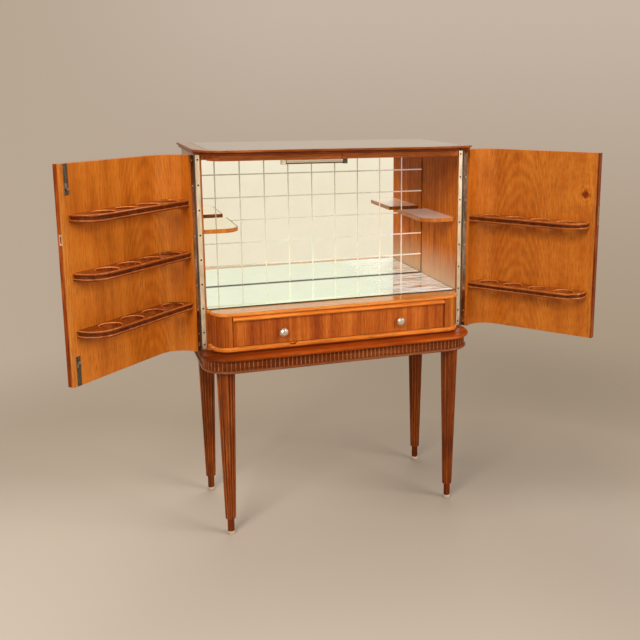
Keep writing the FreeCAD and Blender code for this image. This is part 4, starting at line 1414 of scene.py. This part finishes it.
def stage_object(name, bm, material):
    mesh = bpy.data.meshes.new(name)
    bm.to_mesh(mesh)
    bm.free()
    mesh.materials.append(material)
    made = bpy.data.objects.new(name, mesh)
    bpy.context.scene.collection.objects.link(made)
    return made


studio_floor, tree, shader = new_material("studio_floor")
space = pattern_space(tree)
cloud = stretched_noise(tree, space, 2.5, 2.5, 4.0)
aside, back = [vectors(tree, "DOT_PRODUCT", {0: space, 1: way})["Value"] for way in floor_headings]
back = times_plus(tree, cloud, floor_cloud_depth, plus(tree, back, -floor_cloud_depth / 2))
tone = ramp(tree, times_plus(tree, back, floor_scale, floor_middle), floor_tones)
across = times_plus(tree, aside, floor_scale, floor_middle)
tone = tinted(tree, tone, across, floor_side_shade)
# A painted shadow on the floor, darkest behind the cabinet's right.
squares = []
for value, spot, reach in zip((aside, back), floor_shade_middle, floor_shade_reach):
    off = times_plus(tree, value, 1 / reach, -spot / reach)
    squares.append(times(tree, off, off))
away = arithmetic(tree, "SQRT", plus(tree, *squares))
tone = tinted(tree, tone, away, [(0.0, grey(1 - floor_shade_depth)), (1.0, grey(1.0))])
feed(tree, shader, {"Base Color": tone, "Roughness": 0.65, "Specular IOR Level": 0.2})
length = vectors(tree, "LENGTH", {0: space})["Value"]
fade = mapped(tree, length, *floor_fade, curve="SMOOTHSTEP")
clear = new_node(tree, "BsdfTransparent", {})
inputs = {"Fac": fade, 1: shader.outputs["BSDF"], 2: clear.outputs["BSDF"]}
mixed = new_node(tree, "MixShader", inputs)
feed(tree, tree.nodes["Material Output"], {"Surface": mixed.outputs["Shader"]})
bm = bmesh.new()
bmesh.ops.create_circle(bm, cap_ends=True, segments=96, radius=floor_radius)
stage_object("floor", bm, studio_floor)

card_cream, tree, shader = new_material("card_cream")
tree.nodes.remove(shader)
rise = times(tree, axes(tree, pattern_space(tree))["Z"], 0.3)
glow = new_node(tree, "Emission", {"Color": ramp(tree, rise, card_tones)})
feed(tree, tree.nodes["Material Output"], {"Surface": glow.outputs["Emission"]})
bm = bmesh.new()
card_place = Matrix.Translation(card_middle) @ Matrix.Rotation(math.pi / 2, 4, "X")
bmesh.ops.create_grid(bm, x_segments=1, y_segments=1, size=1.0, matrix=card_place)
about = Matrix.Translation((0.0, 0.0, -card_middle[2]))
growth = (card_half_width, 1.0, card_half_height)
bmesh.ops.scale(bm, verts=bm.verts, vec=growth, space=about)
card = stage_object("card", bm, card_cream)
card.visible_camera = False
card.visible_diffuse = False
card.visible_shadow = False

world = bpy.data.worlds.new("studio")
bpy.context.scene.world = world
world.use_nodes = True
tree = world.node_tree
direction = new_node(tree, "TexCoord", {})
heading = axes(tree, direction.outputs["Generated"])
rise = times_plus(tree, heading["Z"], 1.0, 0.5)
wall_left = ramp(tree, rise, wall_left_tones)
wall_right = ramp(tree, rise, wall_right_tones)
across = mapped(tree, heading["X"], *wall_blend, curve="SMOOTHSTEP")
wall = blended(tree, across, wall_left, wall_right)
rays = new_node(tree, "LightPath", {}).outputs
seen = plus(tree, rays["Is Camera Ray"], rays["Is Glossy Ray"])
seen = plus(tree, seen, rays["Is Transmission Ray"])
seen = arithmetic(tree, "MINIMUM", seen, 1.0)
choice = blended(tree, seen, unseen_light, wall)
feed(tree, tree.nodes["Background"], {"Color": choice, "Strength": 1.0})


def soft_lamp(name, place, size, power, colour):
    light = bpy.data.lights.new(name, "AREA")
    light.shape = "SQUARE"
    light.size = size
    light.energy = power
    light.color = colour
    lamp = bpy.data.objects.new(name, light)
    lamp.location = place
    aim = Vector((0.0, 0.0, 0.75)) - Vector(place)
    lamp.rotation_euler = aim.to_track_quat("-Z", "Y").to_euler()
    bpy.context.scene.collection.objects.link(lamp)


soft_lamp("key", (-2.4, -3.0, 3.2), 1.8, 118.0, (1.0, 0.98, 0.94))
soft_lamp("fill", (2.8, -2.8, 2.4), 2.0, 95.0, (1.0, 0.98, 0.95))
soft_lamp("rim", (0.4, 1.8, 3.6), 2.4, 45.0, (1.0, 0.99, 0.97))

scene = bpy.context.scene
scene.view_settings.view_transform = "Standard"

camera_place = (-0.773849, -2.715957, 1.425757)
camera_heading = -0.3556053
camera_dip = 0.1963192
camera_lean = 0.0046641

camera_data = bpy.data.cameras.new("camera")
camera_data.sensor_width = 36.0
camera_data.lens = 48.6497
camera_data.shift_x = -0.11898
camera_data.shift_y = -0.08798
camera = bpy.data.objects.new("camera", camera_data)
heading = Matrix.Rotation(camera_heading, 4, "Z")
tilt = Matrix.Rotation(math.pi / 2 - camera_dip, 4, "X")
lean = Matrix.Rotation(camera_lean, 4, "Z")
camera.matrix_world = Matrix.Translation(camera_place) @ heading @ tilt @ lean
scene.collection.objects.link(camera)
scene.camera = camera
